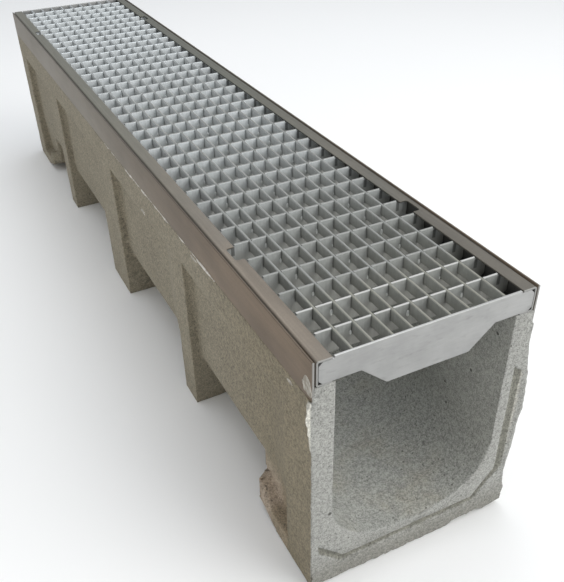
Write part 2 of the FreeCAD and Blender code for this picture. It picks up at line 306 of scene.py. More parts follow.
class FinishBoard(Board):
    """The node tree of one material."""

    def __init__(self, name: str) -> None:
        """Makes the material and empties its tree.

        Args:
            name: The material's name.
        """
        self.material = bpy.data.materials.new(name)
        self.material.use_nodes = True
        super().__init__(self.material.node_tree)
        self.tree.nodes.clear()
        self.place = self.node("ShaderNodeTexCoord", output="Object")

    def axis(self, letter: str) -> Wire:
        """The Object coordinate along X, Y or Z, in metres."""
        return self.node("ShaderNodeSeparateXYZ", sockets={0: self.place}, output=letter)

    def under(self, height: Wire, top: float, drops: Span) -> Wire:
        """Goes smoothly from 0 to 1 between two depths under a top."""
        return self.step(height, top - drops[0], top - drops[1])

    def spread(self, scales: tuple[float, float, float]) -> Wire:
        """Object coordinates scaled along each axis."""
        return self.node("ShaderNodeMapping", sockets={"Vector": self.place, "Scale": scales})

    def grain(self, per_metre: float, detail: float = 3.0, stretch: tuple = (1, 1, 1)) -> Wire:
        """Noise from 0 to 1.

        Args:
            per_metre: Spots in one metre.
            detail: Octaves of finer spots.
            stretch: Factor on the number of spots along each axis.

        Returns:
            The noise value.
        """
        place = self.spread(tuple(per_metre * factor for factor in stretch))
        sockets = {"Vector": place, "Scale": 1.0, "Detail": detail, "Roughness": 0.55}
        return self.node("ShaderNodeTexNoise", sockets=sockets)

    def pits(self, per_metre: float, widest: float, share: float) -> Wire:
        """Round pits scattered over the surface.

        Args:
            per_metre: Cells in one metre, each with one pit at most.
            widest: Radius of the widest pit, in cells.
            share: Part of the cells that have a pit, from 0 to 1.

        Returns:
            1 inside a pit and 0 outside.
        """
        settings = {"feature": "F1", "distance": "EUCLIDEAN"}
        sockets = {"Vector": self.spread((per_metre,) * 3), "Scale": 1.0}
        distance = self.node("ShaderNodeTexVoronoi", settings, sockets, "Distance")
        cell = self.node("ShaderNodeTexVoronoi", settings, sockets, "Color")
        chance = self.node("ShaderNodeSeparateColor", sockets={0: cell})
        radius = self.step(chance, 1.0 - share, 1.0) * widest
        return self.step(distance / (radius + LEAST_PIT), *PIT_RIM)

    def mix(
        self,
        factor: float | Wire,
        first: Colour | Wire,
        second: Colour | Wire,
        blend: str = "MIX",
    ) -> Wire:
        """Mixes two colours by a factor from 0 to 1."""
        settings = {"data_type": "RGBA", "blend_type": blend}
        return self.node("ShaderNodeMix", settings, {0: factor, 6: first, 7: second}, 2)

    def shade(self, colour: Colour | Wire, value: Wire) -> Wire:
        """Multiplies a colour by a value."""
        grey = self.node("ShaderNodeCombineColor", sockets={0: value, 1: value, 2: value})
        return self.mix(1.0, colour, grey, "MULTIPLY")

    def surface(self, colour: Wire, roughness: Wire, height: Wire, metallic: float) -> bpy.types.Material:
        """Ends the tree in a principled surface.

        Args:
            colour: Base colour.
            roughness: Roughness from 0 to 1.
            height: Height of the relief, in metres.
            metallic: Metallic share from 0 to 1.

        Returns:
            The finished material.
        """
        normal = self.node("ShaderNodeBump", sockets={"Strength": 1.0, "Distance": 1.0, "Height": height})
        sockets = {"Base Color": colour, "Roughness": roughness, "Metallic": metallic, "Normal": normal}
        shader = self.node("ShaderNodeBsdfPrincipled", sockets=sockets)
        self.node("ShaderNodeOutputMaterial", sockets={"Surface": shader})
        return self.material


class ShapeBoard(Board):
    """A geometry node tree with named inputs."""

    def __init__(self, name: str, inputs: dict[str, str]) -> None:
        """Makes the tree.

        Args:
            name: The tree's name.
            inputs: Socket type of each input, by its name.
        """
        super().__init__(bpy.data.node_groups.new(name, "GeometryNodeTree"))
        face = self.tree.interface
        face.new_socket("Shape", in_out="INPUT", socket_type="NodeSocketGeometry")
        self.keys: dict[str, str] = {}
        for label, kind in inputs.items():
            self.keys[label] = face.new_socket(label, in_out="INPUT", socket_type=kind).identifier
        face.new_socket("Shape", in_out="OUTPUT", socket_type="NodeSocketGeometry")
        self.entry = self.tree.nodes.new("NodeGroupInput")

    def given(self, label: str) -> Wire:
        """The wire of one of the tree's inputs."""
        return Wire(self, self.entry.outputs[label])

    def close(self, shape: Wire) -> None:
        """Makes the shape real, gives it its material and ends the tree.

        Args:
            shape: The shape, which may hold instances.
        """
        real = self.node("GeometryNodeRealizeInstances", sockets={0: shape})
        sockets = {"Geometry": real, "Material": self.given("Finish")}
        self.node("NodeGroupOutput", sockets={0: self.node("GeometryNodeSetMaterial", sockets=sockets)})

    def grow(self, piece: bpy.types.Object, values: dict[str, object]) -> None:
        """Runs the tree on a piece and keeps the result as its plain mesh.

        Args:
            piece: The object whose mesh is the tree's starting shape.
            values: The value of each input, by its name.
        """
        modifier = piece.modifiers.new(self.tree.name, "NODES")
        modifier.node_group = self.tree
        for label, value in values.items():
            modifier[self.keys[label]] = value
        settle(piece)


def smooth(low: float, high: float, value: float) -> float:
    """Goes smoothly from 0 at low to 1 at high."""
    share = min(max((value - low) / (high - low), 0.0), 1.0)
    return share * share * (3.0 - 2.0 * share)


def along(points: Line, place: float) -> float:
    """Reads a line of (place, value) points, eased between them.

    Args:
        points: The points in rising order of place.
        place: Where the line is read.

    Returns:
        The value there, or that of the nearest end.
    """
    value = points[0][1]
    for (low, before), (high, after) in zip(points, points[1:]):
        if place > low:
            value = before + (after - before) * smooth(low, high, place)
    return value


def settle(piece: bpy.types.Object) -> None:
    """Turns a piece's modifiers into its plain mesh.

    Args:
        piece: The object, which loses its modifiers.
    """
    graph = bpy.context.evaluated_depsgraph_get()
    mesh = bpy.data.meshes.new_from_object(piece.evaluated_get(graph))
    piece.modifiers.clear()
    piece.data = mesh


def new_piece(name: str, shape: bmesh.types.BMesh) -> bpy.types.Object:
    """Makes an object at the origin from a shape.

    Args:
        name: Name of the object and of its mesh.
        shape: The shape, which is used up.

    Returns:
        The object, linked to the scene.
    """
    mesh = bpy.data.meshes.new(name)
    shape.to_mesh(mesh)
    shape.free()
    piece = bpy.data.objects.new(name, mesh)
    bpy.context.scene.collection.objects.link(piece)
    return piece


def merged_copy(node: str) -> bmesh.types.BMesh:
    """Copies a node's mesh and joins its loose triangles into flat faces.

    Args:
        node: Name of the node in the frame.

    Returns:
        The copy.
    """
    shape = bmesh.new()
    shape.from_mesh(frame["nodes"][node].data)
    bmesh.ops.remove_doubles(shape, verts=shape.verts, dist=MERGE_DISTANCE)
    bmesh.ops.dissolve_limit(shape, angle_limit=FLAT_ANGLE, verts=shape.verts, edges=shape.edges)
    return shape


def soften(piece: bpy.types.Object, degrees: float) -> None:
    """Shades a piece smooth, apart from edges that turn by more than so many degrees."""
    piece.data.shade_smooth()
    piece.data.set_sharp_from_angle(angle=math.radians(degrees))


def paint(piece: bpy.types.Object, material: bpy.types.Material) -> None:
    """Gives a piece one material."""
    piece.data.materials.clear()
    piece.data.materials.append(material)


def fit(piece: bpy.types.Object, slot: str, nodes: list[str]) -> None:
    """Seats a piece on the body in the place of the nodes that it stands for.

    Args:
        piece: The finished piece.
        slot: The material slot that it belongs to.
        nodes: Names of the nodes that it stands for, which may be none.
    """
    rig.ride(piece, BODY)
    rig.slot(piece, slot)
    if nodes:
        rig.replaces(piece, *nodes)


@dataclass(frozen=True)
class CastConcrete:
    """Grey concrete: pale cut ends, brownish moulded sides that also carry painted shade, a darker, pitted trough and
    painted light in the shoe pockets.
    """

    name: str = "cast_concrete"
    end_tone: Colour = (0.366, 0.366, 0.34, 1.0)
    foot_tone: Colour = (0.275, 0.27, 0.24, 1.0)
    # The outer sides' tones are a brownish mould skin, darkened and warmed by painted shade.
    side_tone: Colour = (0.242, 0.208, 0.144, 1.0)
    far_side_tone: Colour = (0.286, 0.255, 0.19, 1.0)
    # Painted light that brightens the shaded shoe pockets.
    dust_tone: Colour = (0.35, 0.282, 0.2, 1.0)
    heel_tone: Colour = (0.45, 0.368, 0.285, 1.0)
    lip_tone: Colour = (0.58, 0.56, 0.5, 1.0)
    left_lip_tone: Colour = (0.66, 0.645, 0.575, 1.0)
    groove_tone: Colour = (0.248, 0.244, 0.206, 1.0)
    trough_tone: Colour = (0.362, 0.365, 0.335, 1.0)
    pit_tone: Colour = (0.075, 0.072, 0.062, 1.0)
    silt_tone: Colour = (0.30, 0.275, 0.212, 1.0)
    wall_span: Span = (3.0 * MM, 4.5 * MM)
    end_span: Span = (0.4983, 0.4995)
    groove_right_span: Span = (0.1005, 0.0995)
    groove_left_span: Span = (-0.0914, -0.0904)
    groove_depth_span: Span = (0.4940, 0.4950)
    pocket_back_span: Span = (-0.386, -0.392)
    pocket_front_span: Span = (-0.459, -0.457)
    pocket_height_span: Span = (0.065, 0.025)
    heel_span: Span = (-0.432, -0.42)
    lip_span: Span = (0.0930, 0.0942)
    left_lip_span: Span = (-0.0932, -0.0942)
    foot_span: Span = (0.040, 0.006)
    silt_span: Span = (0.062, 0.03)
    far_span: Span = (-0.45, -0.28)

    def material(self) -> bpy.types.Material:
        """Builds the material.

        Returns:
            The material.
        """
        board = FinishBoard(self.name)
        aside = board.axis("X")
        across = abs(aside)
        lengthwise = board.axis("Y")
        length = abs(lengthwise)
        height = board.axis("Z")
        blotch = board.grain(22.0, 4.0)
        sand = board.step(board.grain(760.0, 2.0), 0.32, 0.68)
        fleck = board.step(board.grain(300.0, 3.0), 0.34, 0.66)
        streak = board.grain(120.0, 4.0, (1.0, 0.3, 1.0))
        specks = board.pits(420.0, 0.36, 0.45)
        pores = board.pits(170.0, 0.2, 0.45)
        holes = board.pits(52.0, 0.1, 0.3)
        outside = self._outside(board, across, height)
        side = board.step(outside, *self.wall_span)
        end = board.step(length + (fleck - 0.5) * (0.6 * MM), *self.end_span)
        groove = side * board.step(aside, *self.groove_right_span)
        groove = groove * board.step(aside, *self.groove_left_span)
        groove = groove * board.step(length, *self.groove_depth_span)
        pocket = side * board.step(lengthwise, *self.pocket_back_span)
        pocket = pocket * board.step(lengthwise, *self.pocket_front_span)
        pocket = pocket * board.step(height, *self.pocket_height_span)
        heel = pocket * board.step(lengthwise, *self.heel_span)
        lip = board.step(across, *self.lip_span)
        foot = board.step(height + (blotch - 0.5) * (20.0 * MM), *self.foot_span)
        silt = (1.0 - side) * board.step(height, *self.silt_span) * board.step(blotch, 0.42, 0.7) * 0.6
        # The outer faces take the brownish skin colour with painted shade in it, lighter towards the far end.
        flank = board.mix(board.step(lengthwise, *self.far_span), self.side_tone, self.far_side_tone)
        tone = board.mix(side, self.trough_tone, flank)
        tone = board.mix(silt, tone, self.silt_tone)
        # Painted light in the shoe pockets, brightening their shaded backs.
        tone = board.mix(pocket * 0.7, tone, self.dust_tone)
        tone = board.mix(heel, tone, self.heel_tone)
        tone = board.mix(groove, tone, self.groove_tone)
        tone = board.mix(lip, tone, self.lip_tone)
        tone = board.mix(end, tone, board.mix(foot, self.end_tone, self.foot_tone))
        tone = board.mix(board.step(aside, *self.left_lip_span), tone, self.left_lip_tone)
        mottle = 0.41 + blotch * 0.3 + sand * 0.46 + fleck * 0.27 + (streak - 0.5) * side * 0.3
        tone = board.shade(tone, mottle)
        tone = board.mix(specks * 0.6, tone, self.pit_tone)
        tone = board.mix(pores * 0.6, tone, self.pit_tone)
        tone = board.mix(holes * 0.85, tone, self.pit_tone)
        relief = sand * (0.1 * MM) + fleck * (0.12 * MM) + blotch * (0.5 * MM) + streak * side * (0.35 * MM)
        relief = relief - specks * (0.2 * MM) - pores * (0.5 * MM) - holes * (1.1 * MM)
        return board.surface(tone, 0.86 + sand * 0.1, relief, 0.0)

    def _outside(self, board: FinishBoard, across: Wire, height: Wire) -> Wire:
        """Measures how far a point lies behind the trough's surface.

        Args:
            board: The material's tree.
            across: Distance of the point from the channel's middle plane.
            height: Height of the point.

        Returns:
            The depth behind the surface, in metres.
        """
        aside = board.math("MAXIMUM", across - TROUGH_CORNER[0], 0.0)
        below = board.math("MAXIMUM", TROUGH_CORNER[1] - height, 0.0)
        return board.math("SQRT", aside * aside + below * below) - TROUGH_RADIUS


@dataclass(frozen=True)
class CementSmear:
    """Thin pale cement that ran out of the mould."""

    name: str = "cement_smear"
    tone: Colour = (0.54, 0.51, 0.455, 1.0)
    shade_tone: Colour = (0.29, 0.265, 0.22, 1.0)

    def material(self) -> bpy.types.Material:
        """Builds the material.

        Returns:
            The material.
        """
        board = FinishBoard(self.name)
        lump = board.grain(240.0, 4.0)
        tone = board.mix(board.step(lump, 0.35, 0.65), self.shade_tone, self.tone)
        return board.surface(tone, 0.82 + lump * 0.12, lump * (0.3 * MM), 0.0)


@dataclass(frozen=True)
class SiltDirt:
    """Near-black painted shade for the seams beside the rails, with lighter lumps."""

    name: str = "silt_dirt"
    tone: Colour = (0.03, 0.026, 0.021, 1.0)
    dry_tone: Colour = (0.06, 0.05, 0.04, 1.0)

    def material(self) -> bpy.types.Material:
        """Builds the material.

        Returns:
            The material.
        """
        board = FinishBoard(self.name)
        lump = board.grain(210.0, 4.0)
        tone = board.mix(board.step(lump, 0.45, 0.7), self.tone, self.dry_tone)
        return board.surface(tone, 0.8 + lump * 0.15, lump * (0.3 * MM), 0.0)


@dataclass(frozen=True)
class RolledSteel:
    """Dull rolled sheet steel with streaks along its length and bright cut ends, and painted shade inside the rails and
    on the right-hand side.
    """

    name: str
    tone: Colour
    stain_tone: Colour
    far_tone: Colour
    cut_tone: Colour = (0.36, 0.36, 0.345, 1.0)
    top_shade: float = 1.0
    # Painted shade that darkens the right-hand rail.
    right_tint: Colour = (1.0, 1.0, 1.0, 1.0)
    # Near-black painted shade on the faces inside the rails.
    inner_tone: Colour = (0.1, 0.1, 0.095, 1.0)
    top: float = CAD_BOX[1][2]
    far_span: Span = (-0.45, 0.1)
    right_span: Span = (-0.02, 0.02)
    inner_drop: Span = (0.9 * MM, 1.3 * MM)
    inner_span: Span = (89.1 * MM, 88.8 * MM)
    edge_drop: Span = (0.6 * MM, 0.3 * MM)
    cut_span: Span = (0.4993, 0.4998)
    metallic: float = 0.35
    roughness: float = 0.58

    def material(self) -> bpy.types.Material:
        """Builds the material.

        Returns:
            The material.
        """
        board = FinishBoard(self.name)
        streak = board.grain(700.0, 3.0, (1.0, 0.015, 1.0))
        cloud = board.grain(16.0, 4.0, (1.0, 0.5, 1.0))
        speck = board.grain(900.0, 2.0)
        rub = board.grain(110.0, 4.0, (1.0, 0.25, 1.0))
        tone = board.mix(board.step(cloud, 0.4, 0.68), self.tone, self.stain_tone)
        far = board.step(board.axis("Y"), *self.far_span)
        tone = board.mix(far * 0.8, tone, self.far_tone)
        tone = board.shade(tone, 0.55 + streak * 0.4 + speck * 0.26 + rub * 0.24)
        # Painted shade on the right-hand side, weaker towards the far end.
        right = board.step(board.axis("X"), *self.right_span) * (1.0 - far * 0.5)
        tone = board.mix(right, tone, self.right_tint, "MULTIPLY")
        # Painted shade on the faces inside the rails, more than about a millimetre below the top.
        inner = board.under(board.axis("Z"), self.top, self.inner_drop)
        inner = inner * board.step(abs(board.axis("X")), *self.inner_span)
        tone = board.mix(inner, tone, self.inner_tone)
        edge = board.under(board.axis("Z"), self.top, self.edge_drop)
        tone = board.shade(tone, 1.0 - edge * (1.0 - self.top_shade))
        cut = board.step(abs(board.axis("Y")), *self.cut_span)
        tone = board.mix(cut * 0.8, tone, self.cut_tone)
        roughness = self.roughness + (streak - 0.5) * 0.16 + (cloud - 0.5) * 0.2
        return board.surface(tone, roughness, streak * (0.02 * MM) + cloud * (0.1 * MM), self.metallic)


@dataclass(frozen=True)
class PlateZinc:
    """Pale galvanised plate with cloudy patches, dull smudges, a few scratches and a painted highlight along its top
    edge.
    """

    name: str = "plate_zinc"
    tone: Colour = (0.395, 0.395, 0.386, 1.0)
    cloud_tone: Colour = (0.345, 0.345, 0.338, 1.0)
    smudge_tone: Colour = (0.21, 0.21, 0.203, 1.0)
    # A painted highlight along the plate's top edge.
    rim_tone: Colour = (0.5, 0.5, 0.485, 1.0)
    top: float = CAD_BOX[1][2]
    rim_drop: Span = (0.4 * MM, 0.1 * MM)
    metallic: float = 0.45

    def material(self) -> bpy.types.Material:
        """Builds the material.

        Returns:
            The material.
        """
        board = FinishBoard(self.name)
        cloud = board.grain(34.0, 4.0)
        smudge = board.grain(90.0, 4.0, (1.0, 1.0, 2.4))
        drawn = board.grain(420.0, 3.0, (0.2, 1.0, 1.4))
        scratch = board.step(abs(board.grain(60.0, 2.0, (1.0, 1.0, 6.0)) - 0.5), 0.012, 0.0)
        tone = board.mix(board.step(cloud, 0.35, 0.66), self.tone, self.cloud_tone)
        tone = board.mix(board.step(smudge, 0.55, 0.75) * 0.4, tone, self.smudge_tone)
        tone = board.mix(scratch * board.step(cloud, 0.55, 0.7) * 0.4, tone, self.smudge_tone)
        tone = board.shade(tone, 0.88 + drawn * 0.24)
        # Painted highlight on the top edge.
        rim = board.under(board.axis("Z"), self.top, self.rim_drop)
        tone = board.mix(rim, tone, self.rim_tone)
        roughness = 0.4 + (cloud - 0.5) * 0.25 + drawn * 0.1
        return board.surface(tone, roughness, drawn * (0.03 * MM), self.metallic)


@dataclass(frozen=True)
class DippedZinc:
    """Zinc-dipped bar steel with painted light on its top edges and painted shade low down, towards the near end and
    along the joints.
    """

    name: str
    top: float
    tone: Colour
    bloom_tone: Colour
    # Painted shade on the lower parts of the faces, deeper between the bars.
    low_tone: Colour
    # Painted light on the top edges: toned down in the middle, with painted highlights towards the far end and, on the
    # bearing bars, at the nearest bars.
    worn_tone: Colour = (0.27, 0.275, 0.262, 1.0)
    near_edge_tone: Colour = (0.265, 0.262, 0.225, 1.0)
    far_edge_tone: Colour = (0.38, 0.4, 0.41, 1.0)
    # Painted shade that darkens and warms the bars towards the near end.
    near_tint: Colour = (0.6, 0.59, 0.545, 1.0)
    # Near-black painted shade along the joints.
    joint_tone: Colour = (0.05, 0.05, 0.045, 1.0)
    joint_pitch: float = 0.0
    joint_half: Span = (1.9 * MM, 1.2 * MM)
    joint_drop: Span = (10.6 * MM, 9.6 * MM)
    fade_drop: Span = (4.0 * MM, 14.0 * MM)
    worn_drop: Span = (0.5 * MM, 0.25 * MM)
    far_edge_span: Span = (-0.1, 0.3)
    near_edge_span: Span = (-0.425, -0.44)
    near_span: Span = (-0.1, -0.45)
    metallic: float = 0.12

    def material(self) -> bpy.types.Material:
        """Builds the material.

        Returns:
            The material.
        """
        board = FinishBoard(self.name)
        height = board.axis("Z")
        length = board.axis("Y")
        spangle = board.grain(190.0, 3.0)
        run = board.grain(620.0, 2.0, (1.0, 1.0, 0.07))
        fade_wobble = board.grain(60.0, 3.0)
        uneven = height + (fade_wobble - 0.5) * (5.0 * MM)
        # Painted shade that darkens the faces below the top, with a wavy edge.
        low = board.under(uneven, self.top, self.fade_drop)
        # The top edges get painted light: painted shade that damps their highlight in the middle, and painted
        # highlights towards the ends.
        top_edge_mask = board.under(height, self.top, self.worn_drop)
        edge = board.mix(board.step(length, *self.far_edge_span), self.worn_tone, self.far_edge_tone)
        edge = board.mix(board.step(length, *self.near_edge_span), edge, self.near_edge_tone)
        tone = board.mix(board.step(spangle, 0.42, 0.66), self.tone, self.bloom_tone)
        tone = board.mix(low * 0.7, tone, self.low_tone)
        # Painted shade towards the near end.
        tone = board.mix(board.step(length, *self.near_span), tone, self.near_tint, "MULTIPLY")
        tone = board.shade(tone, 0.82 + run * 0.36)
        # Painted shade at the joints.
        if self.joint_pitch:
            tone = board.mix(self._joints(board, height), tone, self.joint_tone)
        tone = board.mix(top_edge_mask, tone, edge)
        roughness = 0.5 + (spangle - 0.5) * 0.2 + low * 0.12
        return board.surface(tone, roughness, spangle * (0.08 * MM) + run * (0.03 * MM), self.metallic)

    def _joints(self, board: FinishBoard, height: Wire) -> Wire:
        """Draws the lines of painted shade where the crossing bars enter their slots.

        Args:
            board: The material's tree.
            height: Height of the point.

        Returns:
            The strength of the lines, from 0 to 1.
        """
        across = board.axis("X")
        beside = abs(across - round(across / self.joint_pitch) * self.joint_pitch)
        line = board.step(beside, *self.joint_half)
        return line * board.under(height, self.top, self.joint_drop) * 0.7


@dataclass(frozen=True)
class StudioFloor:
    """Pale matt floor with the faintest clouding."""

    name: str = "studio_floor"
    tone: Colour = (0.93, 0.93, 0.925, 1.0)
    cloud_tone: Colour = (0.91, 0.91, 0.905, 1.0)

    def material(self) -> bpy.types.Material:
        """Builds the material.

        Returns:
            The material.
        """
        board = FinishBoard(self.name)
        cloud = board.grain(1.5, 3.0)
        tone = board.mix(cloud, self.tone, self.cloud_tone)
        return board.surface(tone, 0.8 + cloud * 0.1, cloud * (0.1 * MM), 0.0)


@dataclass(frozen=True)
class CementLip:
    """Rough cement that stands out sideways at the near end and fades along the channel.

    The depths are (height, depth) points. The other values are the length over which it falls to about
    a third, its steady share and how much of it comes and goes.
    """

    depths: Line
    reach: float
    steady: float
    ragged: float


@dataclass
class ConcreteChannel:
    """The one-piece concrete casting, with worn edges and the rough cement lips of its near end."""

    node: str = "channel_body"
    slot: str = "concrete"
    grid: float = 6.0 * MM
    long_grid: float = 10.0 * MM
    edge_band: float = 1.2 * MM
    end_bands: tuple[float, ...] = (
        1.2 * MM,
        3.5 * MM,
        7.0 * MM,
        12.0 * MM,
        18.0 * MM,
        25.0 * MM,
        33.0 * MM,
    )
    rib_faces: tuple[float, ...] = (-0.250, -0.218, -0.018, 0.050, 0.250, 0.282)
    edge_turn: float = 35.0
    steel_foot: float = 0.199
    calm_band: float = 4.0 * MM
    wave: float = 0.3 * MM
    waves_per_metre: float = 55.0
    ripples_per_metre: float = 160.0
    ripple_share: float = 0.4
    wear: float = 0.4 * MM
    steady_wear: float = 0.7
    chip: float = 2.0 * MM
    chips_per_metre: float = 42.0
    chip_shift: tuple[float, float, float] = (7.0, 3.0, 1.0)
    chip_span: Span = (0.3, 0.6)
    heel_wear: float = 3.0 * MM
    heel_span: Span = (76.0 * MM, 112.0 * MM)
    heel_height: Span = (12.0 * MM, 44.0 * MM)
    left_lip: CementLip = CementLip(
        depths=(
            (0.152, 0.0),
            (0.164, 1.8 * MM),
            (0.176, 3.8 * MM),
            (0.188, 5.4 * MM),
            (0.196, 3.8 * MM),
            (0.2015, 2.6 * MM),
            (0.2145, 0.3 * MM),
        ),
        reach=4.0 * MM,
        steady=0.95,
        ragged=0.45,
    )
    right_lip: CementLip = CementLip(
        depths=(
            (0.0, 7.0 * MM),
            (0.021, 7.6 * MM),
            (0.036, 5.0 * MM),
            (0.048, 5.0 * MM),
            (0.071, 7.0 * MM),
            (0.091, 7.6 * MM),
            (0.115, 10.0 * MM),
            (0.131, 9.4 * MM),
            (0.151, 7.4 * MM),
            (0.171, 3.6 * MM),
            (0.184, 1.6 * MM),
            (0.2145, 0.8 * MM),
        ),
        reach=16.0 * MM,
        steady=1.0,
        ragged=0.16,
    )
    lip_root: float = 82.0 * MM
    lip_lumps_per_metre: float = 130.0
    lip_grains_per_metre: float = 330.0
    lip_grain_share: float = 0.3
    foot_bites: Line = (
        (-0.0925, 2.0 * MM),
        (-0.050, 1.6 * MM),
        (0.0, 1.2 * MM),
        (0.042, 0.8 * MM),
        (0.048, 4.0 * MM),
        (0.072, 5.0 * MM),
        (0.082, 2.2 * MM),
        (0.0925, 5.0 * MM),
    )
    foot_height: float = 14.0 * MM
    foot_reach: float = 6.0 * MM
    foot_crumble: tuple[tuple[float, float], ...] = ((220.0, 1.1 * MM), (520.0, 0.9 * MM))
    crumble_shift: tuple[float, float] = (0.5, 3.5)
    rough_depth: float = 9.0 * MM
    rough_from: float = 74.0 * MM
    rough_cuts: int = 2
    face_play: float = 0.5 * MM
    cover: float = 0.5 * MM
    cover_from: float = 84.0 * MM
    cover_band: float = 8.0 * MM
    groove_depth: float = 4.5 * MM
    groove_edge: float = 91.4 * MM
    groove_fill: float = 1.3 * MM
    groove_wall: Span = (4.0 * MM, 5.5 * MM)

    def build(self) -> bpy.types.Object:
        """Cuts the casting's faces into a fine grid and wears its edges.

        Returns:
            The casting.
        """
        self.low, self.high = (Vector(corner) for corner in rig.box(self.node))
        shape = merged_copy(self.node)
        bmesh.ops.triangulate(shape, faces=shape.faces)
        for axis, places in enumerate((self._across(), self._along(), self._up())):
            for place in places:
                self._rule(shape, axis, place)
        self._refine(shape)
        self._wear(shape)
        piece = new_piece("concrete_channel", shape)
        soften(piece, CRISP_TURN)
        return piece

    def dress(self, piece: bpy.types.Object, material: bpy.types.Material) -> None:
        """Gives the casting its finish and its place in the frame."""
        paint(piece, material)
        fit(piece, self.slot, [self.node])

    def _along(self) -> list[float]:
        """Places the grid lines along the channel.

        Returns:
            Their places on the Y axis.
        """
        places = [self.low.y + band for band in self.end_bands]
        places += [self.high.y - band for band in self.end_bands]
        places += [face + turn * self.edge_band for face in self.rib_faces for turn in (-1, 1)]
        clear = self.end_bands[-1]
        count = int((self.high.y - self.low.y - 2 * clear) / self.long_grid)
        places += [self.low.y + clear + number * self.long_grid for number in range(1, count)]
        return places

    def _across(self) -> list[float]:
        """Places the grid lines across the channel.

        Returns:
            Their places on the X axis.
        """
        count = int((self.high.x - self.low.x) / self.grid)
        places = [self.low.x + (number + 0.5) * self.grid for number in range(count)]
        return places + [self.low.x + self.edge_band, self.high.x - self.edge_band]

    def _up(self) -> list[float]:
        """Places the level grid lines.

        Returns:
            Their heights.
        """
        count = int((self.high.z - self.low.z) / self.grid)
        places = [self.low.z + (number + 0.5) * self.grid for number in range(count)]
        return places + [self.low.z + self.edge_band]

    @staticmethod
    def _rule(shape: bmesh.types.BMesh, axis: int, place: float) -> None:
        """Cuts a line of edges round a shape in one plane.

        Args:
            shape: The shape that is cut.
            axis: Number of the axis that the plane is square to.
            place: Where the plane is on that axis.
        """
        point, normal = Vector(), Vector()
        point[axis], normal[axis] = place, 1.0
        everything = [*shape.verts, *shape.edges, *shape.faces]
        bmesh.ops.bisect_plane(shape, geom=everything, dist=MERGE_DISTANCE, plane_co=point, plane_no=normal)

    def _refine(self, shape: bmesh.types.BMesh) -> None:
        """Splits the edges of the near end's outer parts, where its rough lips and bites are.

        Args:
            shape: The casting, which is changed.
        """
        rough = {vert for vert in shape.verts if self._is_rough(vert.co)}
        edges = [edge for edge in shape.edges if rough.issuperset(edge.verts)]
        bmesh.ops.subdivide_edges(shape, edges=edges, cuts=self.rough_cuts, use_grid_fill=True)
        bmesh.ops.triangulate(shape, faces=[face for face in shape.faces if len(face.verts) > 3])

    def _is_rough(self, point: Vector) -> bool:
        """Tells the outer parts of the near end from the rest.

        Args:
            point: A point of the casting.

        Returns:
            True near the outer and lower edges of the near end face.
        """
        if point.y > self.low.y + self.rough_depth:
            return False
        return abs(point.x) > self.rough_from or point.z < self.foot_height

    def _wear(self, shape: bmesh.types.BMesh) -> None:
        """Moves every point by the casting's waves, worn edges and cement lips.

        Args:
            shape: The casting, which is changed.
        """
        shape.normal_update()
        turn = math.radians(self.edge_turn)
        edges = [edge for edge in shape.edges if edge.is_manifold and edge.calc_face_angle_signed() > turn]
        on_edge = {vert for edge in edges for vert in edge.verts}
        places = [self._worn(vert.co, vert.normal, vert in on_edge) for vert in shape.verts]
        for vert, place in zip(shape.verts, places):
            vert.co = place
        shape.normal_update()

    def _worn(self, point: Vector, normal: Vector, on_edge: bool) -> Vector:
        """Where one point of the casting goes.

        Args:
            point: The point on the true form.
            normal: The form's normal there.
            on_edge: True on an outward edge.

        Returns:
            The point on the worn form, never below the floor.
        """
        free = 1.0 - smooth(self.steel_foot - self.calm_band, self.steel_foot, point.z)
        ripple = noise.noise(point * self.ripples_per_metre)
        wave = noise.noise(point * self.waves_per_metre)
        lift = free * self.wave * (wave + self.ripple_share * ripple)
        if on_edge:
            lift -= self.wear * (self.steady_wear + max(0.0, ripple))
            chance = noise.noise(point * self.chips_per_metre + Vector(self.chip_shift))
            lift -= free * self.chip * smooth(*self.chip_span, chance)
            lift -= self.heel_wear * self._is_heel(point)
        place = point + normal * lift
        place.x += self._lip(point)
        covered = smooth(self.steel_foot - self.cover_band, self.steel_foot, point.z)
        place.y -= self.cover * covered * self._is_cover(point)
        place.y -= self._fill(point)
        place.z = max(place.z + self._bite(point), self.low.z)
        return place

    def _is_heel(self, point: Vector) -> bool:
        """Tells the raised backs of the shoes from the rest.

        Args:
            point: A point of the casting.

        Returns:
            True round a shoe's raised back, whose edges are well rounded.
        """
        from_end = min(point.y - self.low.y, self.high.y - point.y)
        is_along = self.heel_span[0] < from_end < self.heel_span[1]
        return is_along and self.heel_height[0] < point.z - self.low.z < self.heel_height[1]

    def _lip(self, point: Vector) -> float:
        """Measures the rough cement of the near end.

        Args:
            point: A point of the casting.

        Returns:
            How far the cement moves the point along X.
        """
        share = max(0.0, abs(point.x) - self.lip_root) / (self.high.x - self.lip_root)
        from_end = point.y - self.low.y
        lumps = noise.noise(point * self.lip_lumps_per_metre)
        ripple = lumps + self.lip_grain_share * noise.noise(point * self.lip_grains_per_metre)
        lip = self.left_lip if point.x < 0.0 else self.right_lip
        rough = lip.steady + lip.ragged * ripple
        out = share * rough * along(lip.depths, point.z) * math.exp(-from_end / lip.reach)
        return -out if point.x < 0.0 else out

